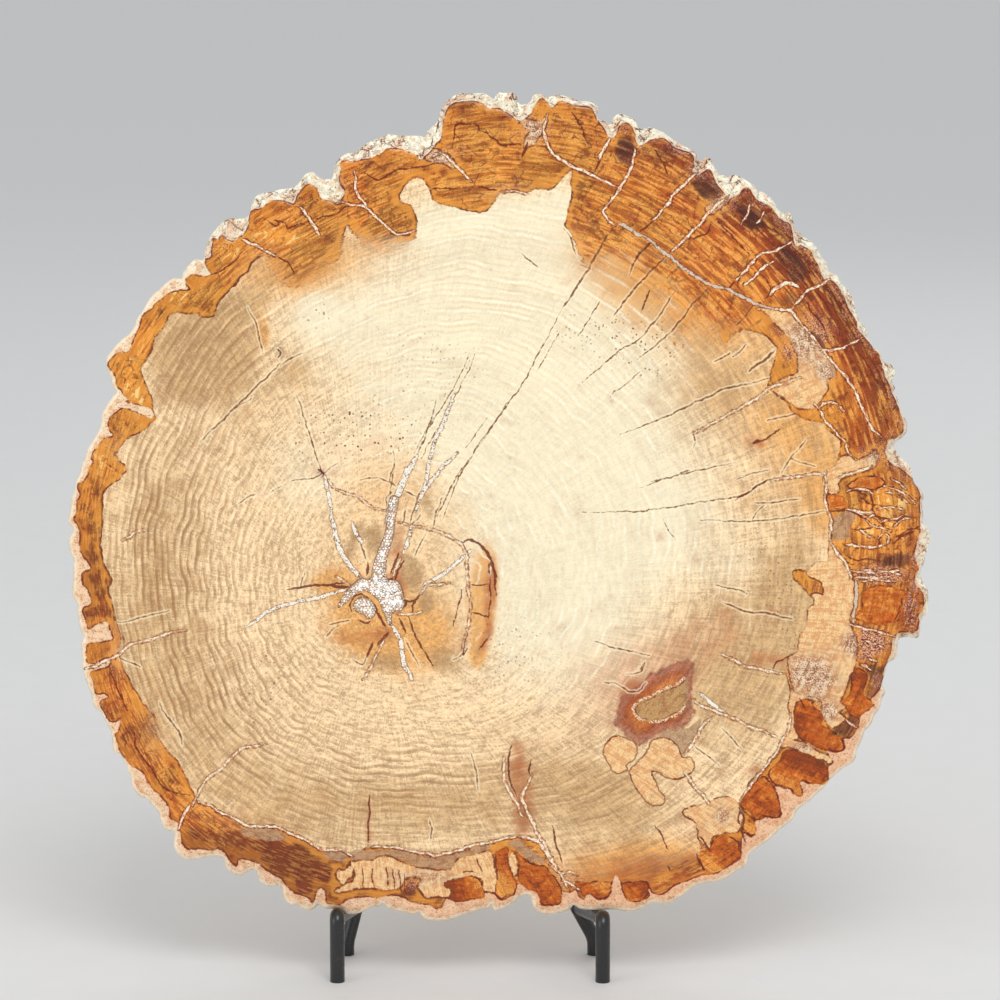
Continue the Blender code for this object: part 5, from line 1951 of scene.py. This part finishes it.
# %% Give the stone its gloss and relief
SILICA_IOR = 1.54
POLISHED, DULL = 0.17, 0.85  # roughness
RELIEF_HEIGHT = 0.0012

dull = most(broken, carried("sawn"))
relief = times(plus(noise_texture(place, 0.16, 2.0, 0.6), times(lumps, 1.2)), dull)
surface({
    "Base Color": colour,
    "Roughness": scaled(plus(dull, swing(grit, 0.2)), 0.0, 1.0, POLISHED, DULL),
    "IOR": SILICA_IOR,
    "Specular IOR Level": 0.35,
    "Normal": bump(relief, 0.5, RELIEF_HEIGHT),
})
slice_stone.data.materials.append(stone_material)
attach(slice_stone, "root")
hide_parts("slice")
counted("the stone's gloss is")

# %% [markdown]
# ## Quartz in the heart
#
# The hollows at the pith are lined with druse, a bed of quartz points like coarse sugar. One point is
# modelled: a six-sided prism with a six-sided tip, which is how quartz ends. It is then copied a few
# hundred times on the bed, each copy with its own size, turn and lean.

# %% Model one quartz point
POINT_RADIUS = 0.001
TIP_HEIGHT = 0.6 * POINT_RADIUS
bpy.ops.object.select_all(action="DESELECT")
bpy.ops.mesh.primitive_cylinder_add(vertices=6, radius=POINT_RADIUS, depth=2 * POINT_RADIUS,
                                    end_fill_type="NGON")
quartz_point = bpy.context.object
bpy.ops.object.mode_set(mode="EDIT")
bpy.ops.mesh.select_mode(type="FACE")
bpy.ops.mesh.select_all(action="DESELECT")
bpy.ops.object.mode_set(mode="OBJECT")
for face in quartz_point.data.polygons:
    face.select = face.normal.z > 0.9
bpy.ops.object.mode_set(mode="EDIT")
bpy.ops.mesh.extrude_region_move(TRANSFORM_OT_translate={"value": (0, 0, TIP_HEIGHT)})
bpy.ops.mesh.merge(type="CENTER")
bpy.ops.object.mode_set(mode="OBJECT")
print("one quartz point has", len(quartz_point.data.polygons), "faces")

# %% [markdown]
# The bed fills the hollow's floor and keeps a hair's breadth away from its wall, so nothing rubs.

# %% Lay a bed under the points
BED_DEPTH = 0.0006
BED_SPACING = 2.6
BED_LUMP = 0.0003
SPARE = 0.00015  # between the quartz and the hollow


def outward_of(loop):
    """The outward direction at each place of a closed line, whichever way it runs."""
    along = np.roll(loop, -1, axis=0) - np.roll(loop, 1, axis=0)
    along /= np.maximum(np.linalg.norm(along, axis=1), 1e-6)[:, None]
    outward = np.stack([along[:, 1], -along[:, 0]], axis=1)
    x, y = loop[:, 0], loop[:, 1]
    clockwise = (x * np.roll(y, -1) - np.roll(x, -1) * y).sum() < 0
    return -outward if clockwise else outward


def closed_bed(loop):
    """The bed under the points: a lumpy top, a flat bottom and a wall, as places in pixels and depths."""
    bed = Sheets()
    grid = clear_of(scattered(loop, BED_SPACING, 5), [(loop, True)], 1.0)
    top, faces = triangulated(loop, [], grid)
    lumps = np.array([noisy(x, y, 0.0, 5.0) for x, y in top]) * BED_LUMP
    bed.add(top, BED_DEPTH + lumps)
    bed.faces(faces)
    first = bed.add(top, HOLLOW_DEPTH - SPARE)
    bed.faces(first + faces[:, ::-1])
    order = np.array(open_loops(faces)[0])
    bed.strip(order, first + order)
    return bed


print("a bed for the pocket would take", closed_bed(pocket_loop).count, "points")

# %% [markdown]
# Points stand closer together than they are wide and lean every way, as sugar does. They are shorter by the
# wall. Each has its own whiteness, which the finish picks up.

# %% Grow the druse in both hollows
POINT_PITCH_PX = 2.9
POINT_SIZES = (0.24, 0.60)  # of the modelled point
POINT_STRETCH = (0.5, 1.1)
POINT_LEAN = 0.75
WHOLE_TURN = 6.28
STANDING = 0.4  # of a point's radius, its middle above the bed


def druse(name, loop, node, seed):
    """A bed of quartz points in one hollow, as one mesh that replaces the CAD crust."""
    chance = random.Random(seed)
    shrunk = loop - outward_of(loop) * (SPARE / PIXEL)
    kept_away, _ = nearest(shrunk, np.vstack([loop, loop[:1]]), 5.0)
    shrunk = shrunk[kept_away > 0.9 * SPARE / PIXEL]
    bed = closed_bed(shrunk)
    work = bmesh.new()
    work.verts.layers.float.new("tip")
    for (x, y), depth in zip(np.vstack(bed.places), np.concatenate(bed.depths)):
        work.verts.new(face_point(x, y, -depth))
    work.verts.ensure_lookup_table()
    for a, b, c in np.vstack(bed.triangles):
        work.faces.new((work.verts[a], work.verts[b], work.verts[c]))
    spots = scattered(shrunk, POINT_PITCH_PX, seed)
    wall_gap, _ = nearest(spots, np.vstack([shrunk, shrunk[:1]]), 12.0)
    for (x, y), gap in zip(spots, wall_gap):
        size = chance.uniform(*POINT_SIZES) * min(1.0, 0.45 + gap / 8)
        tall = chance.uniform(*POINT_STRETCH)
        across, up = (x - MIDDLE_PX[0]) * PIXEL, (MIDDLE_PX[1] - y) * PIXEL
        place = FACE_TO_ROOM @ Matrix.Translation((across, up, -BED_DEPTH + size * POINT_RADIUS * STANDING))
        place = place @ Matrix.Rotation(chance.uniform(0, WHOLE_TURN), 4, "Z")
        place = place @ Matrix.Rotation(chance.uniform(0.0, POINT_LEAN), 4, "X")
        place = place @ Matrix.Rotation(chance.uniform(0, WHOLE_TURN), 4, "Z")
        place = place @ Matrix.Diagonal((size, size, size * tall, 1.0))
        start = len(work.verts)
        work.from_mesh(quartz_point.data)
        work.verts.ensure_lookup_table()
        bmesh.ops.transform(work, matrix=place, verts=work.verts[start:])
        layer, whiteness = work.verts.layers.float["tip"], chance.uniform(0.3, 1.0)
        for corner in work.verts[start:]:
            corner[layer] = whiteness
    bmesh.ops.recalc_face_normals(work, faces=work.faces)
    mesh = bpy.data.meshes.new(name)
    work.to_mesh(mesh)
    work.free()
    made = bpy.data.objects.new(name, mesh)
    bpy.context.scene.collection.objects.link(made)
    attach(made, "root")
    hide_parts(node)
    print(name, "has", len(spots), "points and", len(mesh.polygons), "faces")
    return made


quartz_pieces = [druse("heart_quartz", heart_loop, "crystal_crust", 4),
                 druse("pocket_quartz", pocket_loop, "crystal_pocket", 9)]
bpy.data.objects.remove(quartz_point, do_unlink=True)

# %% [markdown]
# Sugary quartz is white because light scatters between its grains; a faint light of its own colour, given
# off by the finish, is painted light for that scattering. Each point stays glossy. Rust has stained some of
# the bed, so the colour changes from point to point, and dark specks of painted shade lie between them.

# %% Finish the quartz
quartz_material = new_finish("quartz_druse_finish")
spot = object_place()
patches = noise_texture(spot, 700.0, 3.0, 0.6)
grains = noise_texture(spot, 2600.0, 2.0, 0.6)
whiteness = plus(carried("tip"), swing(patches, 1.3))
tint = ramp(whiteness, (0.0, (190, 158, 130)), (0.24, (214, 190, 164)), (0.36, (250, 242, 228)),
            (0.50, (255, 254, 250)))
# painted shade: dark specks between the points
shade_specks = times(step(plus(grains, swing(patches, 0.8)), 0.60, 0.66), 0.85)
tint = mix(shade_specks, tint, (96, 64, 44))
surface({
    "Base Color": tint,
    "Roughness": scaled(grains, 0.3, 0.7, 0.10, 0.35),
    "IOR": 1.544,
    "Subsurface Weight": 0.4,
    "Subsurface Radius": (0.0006, 0.0005, 0.0004),
    # painted light: the quartz gives off a faint light of its own colour
    "Emission Color": tint,
    "Emission Strength": 0.15,
    "Normal": bump(grains, 0.15, 0.0001),
})
for piece in quartz_pieces:
    piece.data.materials.append(quartz_material)
counted("the quartz is")

# %% [markdown]
# ## The wire stand
#
# The stand is bent from black 3/16 inch rod: two prongs with a foot, a shoulder and a short saddle that
# carries the slice, two legs that lean against its back, and a rear leg. A bent rod is a curve with a round
# bevel. Here each path is straight runs whose corners are rounded like a real bend, and the ends are ground
# round.

# %% Measure the stand
GAP = 0.0003
ROD_RADIUS = 0.00238
PRONG_FRONT = 0.0045
PRONG_FEET = {"left": -0.0525, "right": 0.0335}
SHOULDER_RISE = {"left": 0.0022, "right": 0.0010}
LEG_FEET = {"left": -0.0505, "right": 0.0315}
LEG_KNEES = {"left": (-0.0505, 0.0040), "right": (0.0315, 0.0055)}
LEG_SHINS = {"left": (-0.0477, 0.0150), "right": (0.0253, 0.0165)}
LEG_APEX_HEIGHT = 0.184
LEG_LEAN = math.radians(8)
REAR_FOOT_Y = 0.0578
REAR_ANKLE_HEIGHT = 0.010
REAR_TOP_DROP = 0.006
BEND_RADIUS = 0.0055
LEG_BEND_RADIUS = 0.011
SADDLE_START = 0.004
SEAT = (MIDDLE_PX[1] - SEAT_PX) * PIXEL


def leaning(across, up, out):
    """A place in the slice's own frame: along the face, up it and out of it."""
    return FACE_TO_ROOM @ Vector((across, up, out))


def leg_depth(height):
    """How far back a leg's middle lies at a height: it touches the sawn back near its top only."""
    up = (LEG_APEX_HEIGHT - MIDDLE_HEIGHT + THICKNESS * math.sin(LEAN)) / math.cos(LEAN)
    touch = leaning(0.0, up, -THICKNESS).y + (GAP + ROD_RADIUS) / math.cos(LEG_LEAN)
    return touch - (LEG_APEX_HEIGHT - height) * math.tan(LEG_LEAN)


def leg_path(side, apex_across):
    """Foot, knee, shin and top of one leg."""
    path = [Vector((LEG_FEET[side], leg_depth(LEG_KNEES[side][1]), 0.0))]
    bends = (LEG_KNEES[side], LEG_SHINS[side])
    path += [Vector((across, leg_depth(height), height)) for across, height in bends]
    return path + [Vector((apex_across, leg_depth(LEG_APEX_HEIGHT), LEG_APEX_HEIGHT))]


def prong_path(side):
    """Foot, shoulder, saddle and end of one prong, which stops just short of the leg behind it."""
    across = PRONG_FEET[side]
    shoulder = leaning(across, SEAT + SHOULDER_RISE[side] - ROD_RADIUS, PRONG_FRONT)
    saddle = leaning(across, SEAT - GAP - ROD_RADIUS, -SADDLE_START)
    height = leaning(across, SEAT - GAP - ROD_RADIUS, -THICKNESS - ROD_RADIUS).z
    knee, shin = [Vector((x, leg_depth(z), z)) for x, z in (LEG_KNEES[side], LEG_SHINS[side])]
    leg_centre = knee.lerp(shin, (height - knee.z) / (shin.z - knee.z))
    inward = (leg_centre - saddle).normalized()
    slant = math.asin(abs(inward.dot((shin - knee).normalized())))
    short = (ROD_RADIUS + GAP + ROD_RADIUS * math.sin(slant)) / math.cos(slant)
    return [Vector((across, shoulder.y, 0.0)), shoulder, saddle, leg_centre - inward * short]


print("the legs meet", round(leg_depth(LEG_APEX_HEIGHT) * 1000, 1), "mm behind the middle")

# %% [markdown]
# Rod is bent cold round a pin, so each corner is an arc of one radius between two straight runs.

# %% Helper that rounds the bends
def rounded(corners, radius, steps=9):
    """Straight runs with each corner turned into an arc."""
    made = [corners[0]]
    for before, corner, after in zip(corners, corners[1:], corners[2:]):
        back, ahead = (before - corner).normalized(), (after - corner).normalized()
        half = back.angle(ahead) / 2
        reach = min(radius / math.tan(half), 0.45 * (before - corner).length, 0.45 * (after - corner).length)
        tight = reach * math.tan(half)
        hub = corner + (back + ahead).normalized() * tight / math.sin(half)
        start, end = (corner + back * reach - hub).normalized(), (corner + ahead * reach - hub).normalized()
        made += [hub + start.slerp(end, step / steps) * tight for step in range(steps + 1)]
    return made + [corners[-1]]


print("a prong is a line of", len(rounded(prong_path("left"), BEND_RADIUS)), "places")

# %% [markdown]
# A rod starts as a straight curve from the menu, takes the route's places and a round bevel, and becomes a
# mesh. Its ends are bevelled, as a file would round them, and a blob of weld can be joined to it.

# %% Bend the rods
END_ROUND = 0.0012
WELD_LUMP = 0.10


def bent_rod(name, route):
    """A round rod along a route, converted to a mesh, with its two ends bevelled round."""
    bpy.ops.object.select_all(action="DESELECT")
    bpy.ops.curve.primitive_bezier_curve_add()
    thing = bpy.context.object
    thing.name = name
    curve = thing.data
    curve.splines.clear()
    spline = curve.splines.new("POLY")
    spline.points.add(len(route) - 1)
    for point, spot in zip(spline.points, route):
        point.co = (*spot, 1.0)
    curve.bevel_depth = ROD_RADIUS
    curve.bevel_resolution = 10
    curve.use_fill_caps = True
    bpy.ops.object.convert(target="MESH")
    bpy.ops.object.mode_set(mode="EDIT")
    bpy.ops.mesh.select_all(action="SELECT")
    bpy.ops.mesh.remove_doubles(threshold=0.00001)
    bpy.ops.mesh.select_mode(type="FACE")
    bpy.ops.mesh.select_all(action="DESELECT")
    bpy.ops.object.mode_set(mode="OBJECT")
    for face in thing.data.polygons:
        face.select = len(face.vertices) > 4
    bpy.ops.object.mode_set(mode="EDIT")
    bpy.ops.mesh.region_to_loop()
    bpy.ops.mesh.bevel(offset=END_ROUND, segments=4, affect="EDGES")
    bpy.ops.mesh.select_all(action="SELECT")
    bpy.ops.mesh.normals_make_consistent(inside=False)
    bpy.ops.object.mode_set(mode="OBJECT")
    bpy.ops.object.shade_smooth_by_angle(angle=math.radians(40))
    return thing


def weld_bead(thing, centre, size, seed):
    """A blob of weld metal that runs over the joint between two rods, joined to one of them."""
    bpy.ops.object.select_all(action="DESELECT")
    bpy.ops.mesh.primitive_ico_sphere_add(subdivisions=4, radius=1.0, location=centre)
    bead = bpy.context.object
    for vert in bead.data.vertices:
        lump = noise.noise(vert.co * 2.2 + Vector((seed, 0, 0)))
        vert.co = Vector(s * v for s, v in zip(size, vert.co * (1.0 + WELD_LUMP * lump)))
    bpy.ops.object.shade_smooth()
    thing.select_set(True)
    bpy.context.view_layer.objects.active = thing
    bpy.ops.object.join()


print("rod of", round(ROD_RADIUS * 2000, 2), "mm")

# %% [markdown]
# Each prong ends in a weld on its leg. The two legs meet at the top, where the rear leg is welded on
# behind.

# %% Put the stand together
PRONG_WELD = (0.0030, 0.0016, 0.0030)
TOP_WELD = (0.0036, 0.0020, 0.0052)
TOP_WELD_SHIFT = Vector((0, 0.0026, 0.004))

middle = (LEG_FEET["left"] + LEG_FEET["right"]) / 2
beside = ROD_RADIUS + GAP / 2
rods = {}
for side, apex in (("left", middle - beside), ("right", middle + beside)):
    rods[side + "_leg"] = bent_rod("rod_" + side + "_leg", rounded(leg_path(side, apex), LEG_BEND_RADIUS))
    route = rounded(prong_path(side), BEND_RADIUS)
    rods[side + "_prong"] = bent_rod("rod_" + side + "_prong", route)
    weld_bead(rods[side + "_prong"], route[-1], PRONG_WELD, 3.0 * apex)
rear_height = LEG_APEX_HEIGHT - REAR_TOP_DROP
rear_top = Vector((middle, leg_depth(rear_height) + 2 * ROD_RADIUS + GAP, rear_height))
ankle = Vector((middle, REAR_FOOT_Y, REAR_ANKLE_HEIGHT))
rear_corners = [Vector((middle, REAR_FOOT_Y, 0.0)), ankle, rear_top]
rods["rear_leg"] = bent_rod("rod_rear_leg", rounded(rear_corners, LEG_BEND_RADIUS))
weld_bead(rods["rear_leg"], rear_top - TOP_WELD_SHIFT, TOP_WELD, 1.0)
for node, thing in rods.items():
    for face in thing.data.polygons:
        face.use_smooth = True
    thing.data.transform(thing.matrix_world)
    thing.matrix_world = Matrix.Identity(4)
    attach(thing, "root")
    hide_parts(node)
print("rods:", {node: len(thing.data.polygons) for node, thing in rods.items()})

# %% [markdown]
# Satin black enamel over steel: dark, a little uneven like orange peel, with dust that dulls it in patches.

# %% Finish the metal
metal_material = new_finish("black_enamel_finish")
spot = object_place()
peel = noise_texture(spot, 900.0)
wear = noise_texture(spot, 160.0, 4.0, 0.7)
surface({
    "Base Color": mix(times(step(wear, 0.6, 0.75), 0.5), (24, 24, 26), (58, 56, 54)),
    "Roughness": scaled(wear, 0.3, 0.7, 0.22, 0.42),
    "Coat Weight": 0.3,
    "Coat Roughness": 0.15,
    "Normal": bump(peel, 0.12, 0.0002),
})
for rod in rods.values():
    rod.data.materials.append(metal_material)
counted("the metal is")

# %% [markdown]
# ## The floor's finish
#
# A matt pale board, with just enough unevenness for the light to find.

# %% Finish the floor
board_material = new_finish("pale_board_finish")
tooth = noise_texture(object_place(), 60.0, 4.0, 0.6)
surface({
    "Base Color": mix(tooth, (222, 222, 221), (228, 228, 227)),
    "Roughness": scaled(tooth, 0.3, 0.7, 0.55, 0.65),
})
floor.data.materials.append(board_material)
counted("the floor is")

# %% [markdown]
# ## How the colours are shown
#
# The picture's colours are meant as they are painted, so the view has no film curve over them.

# %% Show the colours as painted
bpy.context.scene.view_settings.view_transform = "Standard"
print("the view is", bpy.context.scene.view_settings.view_transform)
